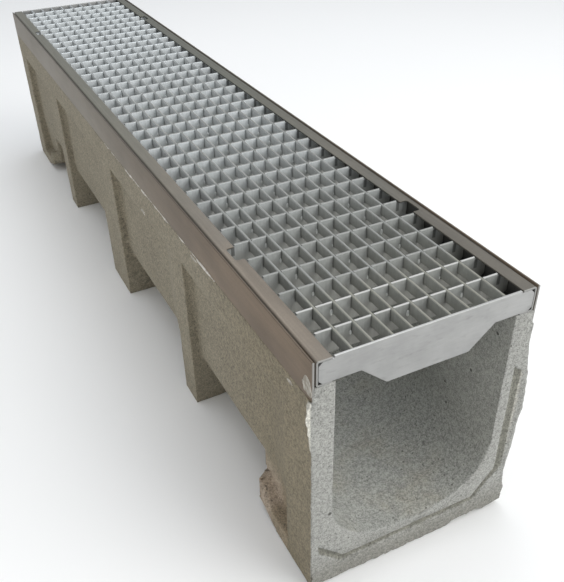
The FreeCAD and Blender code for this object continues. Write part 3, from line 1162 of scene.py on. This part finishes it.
    def _fill(self, point: Vector) -> float:
        """Measures the cement left in the near end's sealing groove.

        Args:
            point: A point of the casting.

        Returns:
            How far the cement brings the point towards the end face.
        """
        depth = point.y - self.low.y
        is_inside = self.face_play < depth < self.groove_depth + self.face_play
        if not is_inside or abs(point.x) > self.groove_edge:
            return 0.0
        aside = max(0.0, abs(point.x) - TROUGH_CORNER[0])
        below = max(0.0, TROUGH_CORNER[1] - point.z)
        behind = math.hypot(aside, below) - TROUGH_RADIUS
        return self.groove_fill * depth / self.groove_depth * smooth(*self.groove_wall, behind)

    def _is_cover(self, point: Vector) -> bool:
        """True where cement covers the end of an edge strip."""
        return abs(point.x) > self.cover_from and point.y < self.low.y + self.face_play

    def _bite(self, point: Vector) -> float:
        """Measures the broken lower edge of the near end.

        Args:
            point: A point of the casting.

        Returns:
            How far the point is raised.
        """
        share = max(0.0, 1.0 - (point.z - self.low.z) / self.foot_height)
        depth = along(self.foot_bites, point.x)
        for per_metre, height in self.foot_crumble:
            depth += height * noise.noise(Vector((point.x * per_metre, *self.crumble_shift)))
        return share * max(0.0, depth) * math.exp(-(point.y - self.low.y) / self.foot_reach)


@dataclass
class SheetPart:
    """One piece of bent or flat sheet steel with eased edges."""

    node: str
    name: str
    slot: str
    edge: float = 0.3 * MM
    edge_steps: int = 2
    edge_turn: float = CRISP_TURN

    def build(self) -> bpy.types.Object:
        """Eases the sheet's sharp edges.

        Returns:
            The sheet part.
        """
        piece = new_piece(self.name, merged_copy(self.node))
        bevel = piece.modifiers.new("eased_edges", "BEVEL")
        bevel.width = self.edge
        bevel.segments = self.edge_steps
        bevel.limit_method = "ANGLE"
        bevel.angle_limit = math.radians(self.edge_turn)
        settle(piece)
        soften(piece, self.edge_turn)
        return piece

    def dress(self, piece: bpy.types.Object, material: bpy.types.Material) -> None:
        """Gives the sheet its finish and its place in the frame."""
        paint(piece, material)
        fit(piece, self.slot, [self.node])


@dataclass
class PressedMesh:
    """The grate's mesh: slotted bearing bars, tie bars pressed into them and small weld beads."""

    slot: str = "mesh_zinc"
    bar_thickness: float = 2.0 * MM
    tie_depth: float = 10.0 * MM
    slot_play: float = 0.12 * MM
    shoulder_drop: float = 1.7 * MM
    raised_half: float = 76.25 * MM
    corner_cut: float = 2.5 * MM
    bar_edge: float = 0.5 * MM
    wander: tuple[float, float, float] = (0.0, 0.12 * MM, 0.04 * MM)
    welded_ties: tuple[int, ...] = (2, 5, 8)
    bead_size: tuple[float, float, float] = (1.2 * MM, 0.9 * MM, 2.5 * MM)
    bead_factor: Span = (0.4, 1.15)
    bead_cells: tuple[int, int] = (8, 6)
    bead_drop: float = 8.5 * MM
    bead_aside: float = 2.1 * MM
    seed: int = 5

    def __post_init__(self) -> None:
        """Reads the places of the bars and ties from the frame."""
        self.bars = sorted(node for node in frame["nodes"] if node.startswith("bearing_bar_"))
        self.ties = sorted(node for node in frame["nodes"] if node.startswith("tie_bar_"))
        self.bar_low, self.bar_high = (Vector(corner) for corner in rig.box(self.bars[0]))
        self.tie_low, self.tie_high = (Vector(corner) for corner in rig.box(self.ties[0]))
        self.bar_pitch = (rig.box(self.bars[-1])[0][1] - self.bar_low.y) / (len(self.bars) - 1)
        self.tie_pitch = (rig.box(self.ties[-1])[0][0] - self.tie_low.x) / (len(self.ties) - 1)
        self.top = self.bar_high.z

    def build(
        self,
        bar_finish: bpy.types.Material,
        tie_finish: bpy.types.Material,
        bead_finish: bpy.types.Material,
    ) -> list[bpy.types.Object]:
        """Makes the rows of bars, ties and beads.

        Args:
            bar_finish: Material of the bearing bars.
            tie_finish: Material of the tie bars.
            bead_finish: Material of the weld beads.

        Returns:
            The bearing bars, the tie bars and the beads, each as one piece.
        """
        row = self._row_tree()
        bars = new_piece("grate_bearing_bars", self._bar())
        bar_first = Vector((0.0, (self.bar_low.y + self.bar_high.y) / 2, 0.0))
        row.grow(bars, self._row(len(self.bars), bar_first, Vector((0.0, self.bar_pitch, 0.0)), bar_finish))
        ties = new_piece("grate_tie_bars", self._tie())
        tie_first = Vector(((self.tie_low.x + self.tie_high.x) / 2, 0.0, 0.0))
        row.grow(ties, self._row(len(self.ties), tie_first, Vector((self.tie_pitch, 0.0, 0.0)), tie_finish))
        beads = self._beads(tie_first.x, bar_first.y, bead_finish)
        return [bars, ties, beads]

    def dress(self, pieces: list[bpy.types.Object]) -> None:
        """Gives the three pieces their places in the frame.

        Args:
            pieces: The bearing bars, the tie bars and the beads.
        """
        for piece, nodes in zip(pieces, (self.bars, self.ties, [])):
            soften(piece, CRISP_TURN)
            fit(piece, self.slot, nodes)

    def _row(
        self,
        count: int,
        first: Vector,
        step: Vector,
        finish: bpy.types.Material,
    ) -> dict[str, object]:
        """Gathers the inputs of one row of like bars.

        Args:
            count: How many bars there are.
            first: Place of the first bar.
            step: From one bar to the next.
            finish: Material of the bars.

        Returns:
            The value of each input of the row's tree.
        """
        across = self.wander if step.y else (self.wander[1], 0.0, self.wander[2])
        values = {"Count": count, "First": first, "Step": step, "Wander": across}
        return values | {"Seed": self.seed, "Finish": finish}

    @staticmethod
    def _row_tree() -> ShapeBoard:
        """Makes a tree that repeats a bar along a straight line, each a hair out of place.

        Returns:
            The tree.
        """
        inputs = {"Count": "NodeSocketInt", "First": "NodeSocketVector", "Step": "NodeSocketVector"}
        inputs |= {"Wander": "NodeSocketVector", "Seed": "NodeSocketInt", "Finish": "NodeSocketMaterial"}
        tree = ShapeBoard("bar_row", inputs)
        sockets = {"Count": tree.given("Count"), "Start Location": tree.given("First")}
        sockets |= {"Offset": tree.given("Step")}
        line = tree.node("GeometryNodeMeshLine", {"mode": "OFFSET"}, sockets)
        sockets = {"Points": line, "Instance": tree.given("Shape")}
        bars = tree.node("GeometryNodeInstanceOnPoints", sockets=sockets)
        sockets = {0: tree.given("Wander"), "Scale": -1.0}
        back = tree.node("ShaderNodeVectorMath", {"operation": "SCALE"}, sockets)
        sockets = {0: back, 1: tree.given("Wander"), "Seed": tree.given("Seed")}
        shift = tree.node("FunctionNodeRandomValue", {"data_type": "FLOAT_VECTOR"}, sockets)
        sockets = {"Instances": bars, "Translation": shift, "Local Space": False}
        tree.close(tree.node("GeometryNodeTranslateInstances", sockets=sockets))
        return tree

    def _bar(self) -> bmesh.types.BMesh:
        """Makes one bearing bar, with shouldered ends and a slot for each tie.

        Returns:
            The bar, at its true height and across the origin.
        """
        half, foot, cut = self.bar_high.x, self.bar_low.z, self.corner_cut
        shoulder = self.top - self.shoulder_drop
        outline = [(-half + cut, foot), (half - cut, foot), (half, foot + cut), (half, shoulder - cut)]
        outline += [(half - cut, shoulder), (self.raised_half, shoulder), (self.raised_half, self.top)]
        slot_half = self.bar_thickness / 2 + self.slot_play
        slot_foot = self.top - self.tie_depth
        last = (self.tie_low.x + self.tie_high.x) / 2 + (len(self.ties) - 1) * self.tie_pitch
        for number in range(len(self.ties)):
            middle = last - number * self.tie_pitch
            outline += [(middle + slot_half, self.top), (middle + slot_half, slot_foot)]
            outline += [(middle - slot_half, slot_foot), (middle - slot_half, self.top)]
        outline += [(-self.raised_half, self.top), (-self.raised_half, shoulder), (-half + cut, shoulder)]
        outline += [(-half, shoulder - cut), (-half, foot + cut)]
        back = -self.bar_thickness / 2
        return self._flat_bar([Vector((x, back, z)) for x, z in outline], Vector((0, 1, 0)))

    def _tie(self) -> bmesh.types.BMesh:
        """Makes one tie bar, standing on edge along the channel.

        Returns:
            The bar, at its true height and along the Y axis.
        """
        near, far = self.tie_low.y, self.tie_high.y
        foot, top = self.tie_low.z, self.tie_high.z
        outline = [(near, foot), (near, top), (far, top), (far, foot)]
        back = -self.bar_thickness / 2
        return self._flat_bar([Vector((back, y, z)) for y, z in outline], Vector((1, 0, 0)))

    def _flat_bar(self, outline: list[Vector], normal: Vector) -> bmesh.types.BMesh:
        """Gives an outline the bars' thickness and eases the edges of its two faces.

        Args:
            outline: The outline's corners, in order.
            normal: The way in which the bar gets its thickness.

        Returns:
            The bar.
        """
        shape = bmesh.new()
        face = shape.faces.new([shape.verts.new(point) for point in outline])
        grown = bmesh.ops.extrude_face_region(shape, geom=[face])["geom"]
        moved = [item for item in grown if isinstance(item, bmesh.types.BMVert)]
        bmesh.ops.translate(shape, verts=moved, vec=normal * self.bar_thickness)
        bmesh.ops.recalc_face_normals(shape, faces=shape.faces)
        rims = []
        for edge in shape.edges:
            first, last = (vert.co for vert in edge.verts)
            if abs((first - last).dot(normal)) < MERGE_DISTANCE:
                rims.append(edge)
        bmesh.ops.bevel(
            shape,
            geom=rims,
            offset=self.bar_edge,
            segments=1,
            affect="EDGES",
            clamp_overlap=True,
        )
        return shape

    def _beads(self, first_tie: float, first_bar: float, finish: bpy.types.Material) -> bpy.types.Object:
        """Makes the weld beads at every third tie, one at each bearing bar.

        Args:
            first_tie: Middle of the first tie on the X axis.
            first_bar: Middle of the first bearing bar on the Y axis.
            finish: Material of the beads.

        Returns:
            All beads as one piece.
        """
        shape = bmesh.new()
        round_cells, high_cells = self.bead_cells
        bmesh.ops.create_uvsphere(shape, u_segments=round_cells, v_segments=high_cells, radius=1.0)
        bmesh.ops.scale(shape, vec=Vector(self.bead_size), verts=shape.verts)
        beads = new_piece("grate_weld_beads", shape)
        step = self.welded_ties[1] - self.welded_ties[0]
        middle_tie = sum(self.welded_ties) / len(self.welded_ties) - 1
        centre = Vector((
            first_tie + middle_tie * self.tie_pitch - self.bead_aside,
            first_bar + (len(self.bars) - 1) / 2 * self.bar_pitch - self.bar_thickness / 2,
            self.top - self.bead_drop,
        ))
        values = {
            "Bars": len(self.bars),
            "Ties": len(self.welded_ties),
            "Length": (len(self.bars) - 1) * self.bar_pitch,
            "Width": (len(self.welded_ties) - 1) * step * self.tie_pitch,
            "Centre": centre,
            "Seed": self.seed,
            "Finish": finish,
        }
        self._bead_tree().grow(beads, values)
        return beads

    def _bead_tree(self) -> ShapeBoard:
        """Makes a tree that sets a bead of uneven size at each crossing of a grid.

        Returns:
            The tree.
        """
        inputs = {"Bars": "NodeSocketInt", "Ties": "NodeSocketInt", "Length": "NodeSocketFloat"}
        inputs |= {"Width": "NodeSocketFloat", "Centre": "NodeSocketVector", "Seed": "NodeSocketInt"}
        tree = ShapeBoard("weld_beads", inputs | {"Finish": "NodeSocketMaterial"})
        sockets = {"Size X": tree.given("Width"), "Size Y": tree.given("Length")}
        sockets |= {"Vertices X": tree.given("Ties"), "Vertices Y": tree.given("Bars")}
        grid = tree.node("GeometryNodeMeshGrid", sockets=sockets)
        sockets = {"Geometry": grid, "Translation": tree.given("Centre")}
        placed = tree.node("GeometryNodeTransform", sockets=sockets)
        sockets = {2: self.bead_factor[0], 3: self.bead_factor[1], "Seed": tree.given("Seed")}
        size = tree.node("FunctionNodeRandomValue", {"data_type": "FLOAT"}, sockets, 1)
        sockets = {"Points": placed, "Instance": tree.given("Shape"), "Scale": size}
        tree.close(tree.node("GeometryNodeInstanceOnPoints", sockets=sockets))
        return tree


@dataclass
class SeamSilt:
    """A near-black filler packed into the seams between the edge strips and the grate's side rails, as painted shade of
    the gaps.
    """

    slot: str = "concrete"
    cell: float = 4.0 * MM
    below_top: float = 1.3 * MM
    unevenness: float = 0.5 * MM
    lumps_per_metre: float = 90.0
    noise_shift: tuple[float, float] = (3.0, 0.5)
    end_gap: float = 5.0 * MM
    end_drop: float = 9.0 * MM
    end_reach: float = 6.0 * MM

    def build(self, finish: bpy.types.Material) -> bpy.types.Object:
        """Fills the two seams.

        Args:
            finish: The filler's material.

        Returns:
            Both fillings as one piece.
        """
        shape = bmesh.new()
        for side in Side:
            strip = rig.box(f"{side.word}_edge_strip")
            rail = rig.box(f"{side.word}_side_rail")
            faces = sorted(abs(corner[0]) for corner in (*strip, *rail))
            self._fill(shape, side, faces[1:3], [Vector(corner) for corner in rail])
        bmesh.ops.recalc_face_normals(shape, faces=shape.faces)
        piece = new_piece("seam_silt", shape)
        paint(piece, finish)
        return piece

    def dress(self, piece: bpy.types.Object) -> None:
        """Gives the silt its place in the frame."""
        soften(piece, LUMPY_TURN)
        fit(piece, self.slot, [])

    def _fill(self, shape: bmesh.types.BMesh, side: Side, faces: list[float], rail: list[Vector]) -> None:
        """Adds the filling of one seam.

        Args:
            shape: The shape that it is added to.
            side: The seam's side.
            faces: How far out the rail's web and the strip's inner face are.
            rail: The lowest and the highest corner of the rail.
        """
        inset = Vector((0.0, self.end_gap, 0.0))
        low, high = rail[0] + inset, rail[1] - inset
        count = round((high.y - low.y) / self.cell)
        rings = []
        for number in range(count + 1):
            place = low.y + (high.y - low.y) * number / count
            from_end = min(place - low.y, high.y - place)
            top = high.z - self.below_top - self.end_drop * math.exp(-from_end / self.end_reach)
            across, up = self.noise_shift
            lump = noise.noise(Vector((side.value * across, place * self.lumps_per_metre, up)))
            top += self.unevenness * lump
            corners = [(faces[0], low.z), (faces[1], low.z), (faces[1], top), (faces[0], top)]
            rings.append([shape.verts.new((side.value * x, place, z)) for x, z in corners])
        for before, after in zip(rings, rings[1:]):
            for corner in range(4):
                beside = (corner + 1) % 4
                shape.faces.new((before[corner], before[beside], after[beside], after[corner]))
        shape.faces.new(rings[0])
        shape.faces.new(rings[-1])


@dataclass
class CementTraces:
    """Cement that ran out along the left edge strip: a thin broken line and a few smears."""

    slot: str = "concrete"
    strip: str = "left_edge_strip"
    line_from: float = 165.0 * MM
    line_to: float = 495.0 * MM
    line_width: float = 1.3 * MM
    line_wander: float = 1.6 * MM
    line_points: int = 240
    line_sides: int = 6
    drifts_per_metre: float = 90.0
    swells_per_metre: float = 38.0
    swell_span: Span = (0.4, 0.62)
    least_radius: float = 0.02 * MM
    smears: tuple[tuple[float, float, float, float], ...] = (
        (7.0 * MM, 9.5 * MM, 6.5 * MM, 6.0 * MM),
        (32.5 * MM, -5.7 * MM, 4.5 * MM, 1.5 * MM),
        (213.0 * MM, -4.5 * MM, 6.0 * MM, 1.6 * MM),
        (360.0 * MM, -27.0 * MM, 7.0 * MM, 2.2 * MM),
    )
    smear_thickness: float = 0.3 * MM
    smear_ragged: float = 0.55
    smear_lumps: float = 1.7
    smear_shift: float = 900.0
    seed: float = 2.0

    def build(
        self,
        line_finish: bpy.types.Material,
        smear_finish: bpy.types.Material,
    ) -> list[bpy.types.Object]:
        """Makes the line and the smears.

        Args:
            line_finish: Material of the line.
            smear_finish: Material of the smears.

        Returns:
            The line and the smears, each as one piece.
        """
        self.low, self.high = (Vector(corner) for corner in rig.box(self.strip))
        line = new_piece("cement_line", bmesh.new())
        start = Vector((self.low.x, self.low.y + self.line_from, self.low.z))
        end = Vector((self.low.x, self.low.y + self.line_to, self.low.z))
        values = {"Start": start, "End": end, "Points": self.line_points, "Width": self.line_width}
        values |= {"Wander": self.line_wander, "Seed": self.seed, "Finish": line_finish}
        self._line_tree().grow(line, values)
        smears = new_piece("cement_smears", self._smears())
        paint(smears, smear_finish)
        return [line, smears]

    def dress(self, pieces: list[bpy.types.Object]) -> None:
        """Gives the traces their places in the frame.

        Args:
            pieces: The line and the smears.
        """
        for piece in pieces:
            soften(piece, LUMPY_TURN)
            fit(piece, self.slot, [])

    def _line_tree(self) -> ShapeBoard:
        """Makes a tree that runs an uneven, broken bead along a straight line.

        Returns:
            The tree.
        """
        inputs = {"Start": "NodeSocketVector", "End": "NodeSocketVector", "Points": "NodeSocketInt"}
        inputs |= {"Width": "NodeSocketFloat", "Wander": "NodeSocketFloat", "Seed": "NodeSocketFloat"}
        tree = ShapeBoard("cement_line", inputs | {"Finish": "NodeSocketMaterial"})
        sockets = {"Start": tree.given("Start"), "End": tree.given("End")}
        path = tree.node("GeometryNodeCurvePrimitiveLine", {"mode": "POINTS"}, sockets)
        sockets = {"Curve": path, "Count": tree.given("Points")}
        path = tree.node("GeometryNodeResampleCurve", sockets=sockets)
        place = tree.node("GeometryNodeInputPosition")
        settings = {"noise_dimensions": "4D"}
        sockets = {"Vector": place, "W": tree.given("Seed"), "Scale": self.drifts_per_metre, "Detail": 3.0}
        drift = tree.node("ShaderNodeTexNoise", settings, sockets, 0) - 0.5
        offset = tree.node("ShaderNodeCombineXYZ", sockets={"Z": drift * tree.given("Wander")})
        path = tree.node("GeometryNodeSetPosition", sockets={"Geometry": path, "Offset": offset})
        sockets |= {"Scale": self.swells_per_metre}
        swell = tree.node("ShaderNodeTexNoise", settings, sockets, 0)
        radius = tree.step(swell, *self.swell_span) * tree.given("Width") + self.least_radius
        sockets = {"Resolution": self.line_sides, "Radius": 1.0}
        ring = tree.node("GeometryNodeCurvePrimitiveCircle", sockets=sockets)
        sockets = {"Curve": path, "Profile Curve": ring, "Scale": radius, "Fill Caps": True}
        tree.close(tree.node("GeometryNodeCurveToMesh", sockets=sockets))
        return tree

    def _smears(self) -> bmesh.types.BMesh:
        """Makes flat, uneven dabs on the strip's outer face and on the concrete below it.

        Returns:
            All dabs in one shape.
        """
        shape = bmesh.new()
        for from_end, up, half_length, half_height in self.smears:
            dab = bmesh.ops.create_icosphere(shape, subdivisions=4, radius=1.0)["verts"]
            centre = Vector((self.low.x, self.low.y + from_end, self.low.z + up))
            sizes = (self.smear_thickness, half_length, half_height)
            for vert in dab:
                lump = noise.noise(vert.co * self.smear_lumps + centre * self.smear_shift)
                spread = 1.0 + self.smear_ragged * lump
                flat = Vector([share * size for share, size in zip(vert.co, sizes)])
                vert.co = centre + flat * spread
        return shape


@dataclass(frozen=True)
class SoftLight:
    """One large soft lamp."""

    name: str
    place: tuple[float, float, float]
    aim: tuple[float, float, float]
    size: float
    watts: float
    tone: tuple[float, float, float]

    def hang(self) -> None:
        """Puts the lamp in the scene."""
        lamp = bpy.data.lights.new(self.name, "AREA")
        lamp.shape = "SQUARE"
        lamp.size = self.size
        lamp.energy = self.watts
        lamp.color = self.tone
        holder = bpy.data.objects.new(self.name, lamp)
        holder.location = self.place
        direction = Vector(self.aim) - Vector(self.place)
        holder.rotation_euler = direction.to_track_quat("-Z", "Y").to_euler()
        bpy.context.scene.collection.objects.link(holder)


@dataclass
class Studio:
    """The pale floor, the soft light and the camera at the photograph's viewing angle."""

    floor_half: float = 7.0
    floor_cells: int = 12
    floor_gap: float = 0.05 * MM
    sky_tone: Colour = (0.93, 0.96, 1.0, 1.0)
    sky_strength: float = 0.55
    lights: tuple[SoftLight, ...] = (
        SoftLight("key_light", (1.7, -2.3, 2.0), (0.0, -0.4, 0.12), 2.6, 62.0, (1.0, 0.99, 0.97)),
        SoftLight("top_light", (0.3, 0.2, 2.6), (0.0, 0.1, 0.2), 2.2, 26.0, (0.96, 0.98, 1.0)),
        SoftLight("warm_fill", (-2.4, -0.9, 0.9), (0.0, -0.2, 0.1), 1.6, 6.0, (1.0, 0.9, 0.74)),
        SoftLight("over_light", (0.1, 0.0, 1.5), (0.0, 0.3, 0.22), 0.6, 2.0, (0.95, 0.98, 1.0)),
    )
    camera_place: tuple[float, float, float] = (-0.26670, -0.81430, 0.53443)
    camera_aim: tuple[float, float, float] = (-0.08851, -0.44146, 0.236)
    camera_roll: float = -1.682
    camera_shift: tuple[float, float] = (0.01002, 0.04059)
    focal_pixels: float = 745.4
    frame_pixels: int = 564
    sensor: float = 36.0
    clip_start: float = 0.01

    def build(self) -> None:
        """Sets the whole stage."""
        self._lay_floor()
        self._light_sky()
        for light in self.lights:
            light.hang()
        self._set_camera()
        bpy.context.scene.view_settings.view_transform = "Standard"

    def _lay_floor(self) -> None:
        """Lays the floor just under the object."""
        shape = bmesh.new()
        cells = self.floor_cells
        bmesh.ops.create_grid(shape, x_segments=cells, y_segments=cells, size=self.floor_half)
        level = Vector((0.0, 0.0, CAD_BOX[0][2] - self.floor_gap))
        bmesh.ops.translate(shape, verts=shape.verts, vec=level)
        floor = new_piece("studio_floor", shape)
        paint(floor, StudioFloor().material())
        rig.stage(floor)

    def _light_sky(self) -> None:
        """Gives the surroundings an even pale light."""
        world = bpy.data.worlds.new("studio_sky")
        world.use_nodes = True
        background = next(node for node in world.node_tree.nodes if node.type == "BACKGROUND")
        background.inputs["Color"].default_value = self.sky_tone
        background.inputs["Strength"].default_value = self.sky_strength
        bpy.context.scene.world = world

    def _set_camera(self) -> None:
        """Sets the camera where the photograph was taken from."""
        lens = bpy.data.cameras.new("photo_camera")
        lens.sensor_fit = "HORIZONTAL"
        lens.sensor_width = self.sensor
        lens.lens = self.focal_pixels / self.frame_pixels * self.sensor
        lens.shift_x, lens.shift_y = self.camera_shift
        lens.clip_start = self.clip_start
        ahead = (Vector(self.camera_aim) - Vector(self.camera_place)).normalized()
        level = ahead.cross(Vector((0.0, 0.0, 1.0))).normalized()
        roll = math.radians(self.camera_roll)
        right = level * math.cos(roll) + level.cross(ahead) * math.sin(roll)
        turn = Matrix((right, right.cross(ahead), -ahead)).transposed()
        camera = bpy.data.objects.new("photo_camera", lens)
        camera.matrix_world = Matrix.Translation(self.camera_place) @ turn.to_4x4()
        bpy.context.scene.collection.objects.link(camera)
        bpy.context.scene.camera = camera


def build_sheet_steel() -> list[bpy.types.Object]:
    """Makes the edge strips, the grate's side rails and its end plates, and finishes the hidden anchors.

    Returns:
        The sheet parts.
    """
    edge_steel = RolledSteel(
        "edge_steel",
        tone=(0.212, 0.161, 0.115, 1.0),
        stain_tone=(0.165, 0.126, 0.092, 1.0),
        far_tone=(0.235, 0.215, 0.18, 1.0),
        top_shade=0.55,
    ).material()
    rail_steel = RolledSteel(
        "rail_steel",
        tone=(0.212, 0.18, 0.145, 1.0),
        stain_tone=(0.187, 0.165, 0.138, 1.0),
        far_tone=(0.16, 0.162, 0.135, 1.0),
        # Painted shade on the right-hand rail.
        right_tint=(0.66, 0.71, 0.74, 1.0),
    ).material()
    plate_zinc = PlateZinc().material()
    long_parts = (("edge_strip", "edge_steel", edge_steel), ("side_rail", "frame_steel", rail_steel))
    made = []
    for side in Side:
        for part, slot, finish in long_parts:
            sheet = SheetPart(f"{side.word}_{part}", f"{part}_{side.word}", slot)
            made.append(sheet.build())
            sheet.dress(made[-1], finish)
        paint(frame["nodes"][f"{side.word}_edge_anchors"], edge_steel)
    for end in End:
        sheet = SheetPart(f"{end.word}_end_plate", f"end_plate_{end.word}", "end_plate")
        made.append(sheet.build())
        sheet.dress(made[-1], plate_zinc)
    return made


def build_mesh() -> list[bpy.types.Object]:
    """Makes the pressed mesh of the grate.

    Returns:
        The bearing bars, the tie bars and the weld beads.
    """
    mesh = PressedMesh()
    bar_finish = DippedZinc(
        "bar_zinc",
        mesh.top,
        tone=(0.75, 0.785, 0.795, 1.0),
        bloom_tone=(0.82, 0.855, 0.87, 1.0),
        # Painted shade low down and towards the near end, and painted highlights on the top edges of the near and far
        # bars.
        low_tone=(0.67, 0.67, 0.64, 1.0),
        near_edge_tone=(0.48, 0.48, 0.465, 1.0),
        near_tint=(0.49, 0.48, 0.45, 1.0),
        far_edge_tone=(0.62, 0.66, 0.68, 1.0),
        joint_pitch=mesh.tie_pitch,
    ).material()
    tie_finish = DippedZinc(
        "tie_zinc",
        mesh.top,
        tone=(0.53, 0.55, 0.555, 1.0),
        bloom_tone=(0.59, 0.61, 0.615, 1.0),
        # Painted shade low down.
        low_tone=(0.48, 0.475, 0.44, 1.0),
    ).material()
    bead_finish = DippedZinc(
        "bead_zinc",
        mesh.top,
        tone=(0.82, 0.84, 0.83, 1.0),
        bloom_tone=(0.88, 0.9, 0.89, 1.0),
        # Faint painted shade low down and towards the near end.
        low_tone=(0.8, 0.8, 0.78, 1.0),
        near_tint=(0.95, 0.95, 0.93, 1.0),
    ).material()
    made = mesh.build(bar_finish, tie_finish, bead_finish)
    mesh.dress(made)
    return made


def write_sizes() -> None:
    """Writes the box of the solids and the box of the dressed part."""
    boxes = {"cad": CAD_BOX, "visual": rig.bounds()}
    with open(SIZE_FILE, "w") as handle:
        json.dump({name: [[float(value) for value in corner] for corner in box] for name, box in boxes.items()}, handle)


def main() -> None:
    """Builds the dressed drain channel and its stage."""
    logging.basicConfig(level=logging.INFO, format="%(name)s: %(message)s")
    Studio().build()
    channel = ConcreteChannel()
    casting = channel.build()
    channel.dress(casting, CastConcrete().material())
    traces = CementTraces()
    white_cement = CementSmear("white_cement", (0.8, 0.77, 0.71, 1.0), (0.5, 0.47, 0.42, 1.0)).material()
    smears = traces.build(white_cement, CementSmear().material())
    traces.dress(smears)
    # The seam filler is painted shade: a near-black mass in the gaps beside the rails.
    silt = SeamSilt()
    fillings = silt.build(SiltDirt().material())
    silt.dress(fillings)
    for piece in [casting, *build_sheet_steel(), *build_mesh(), *smears, fillings]:
        LOG.info("%s has %d faces", piece.name, len(piece.data.polygons))
    write_sizes()


if __name__ == "__main__":
    main()
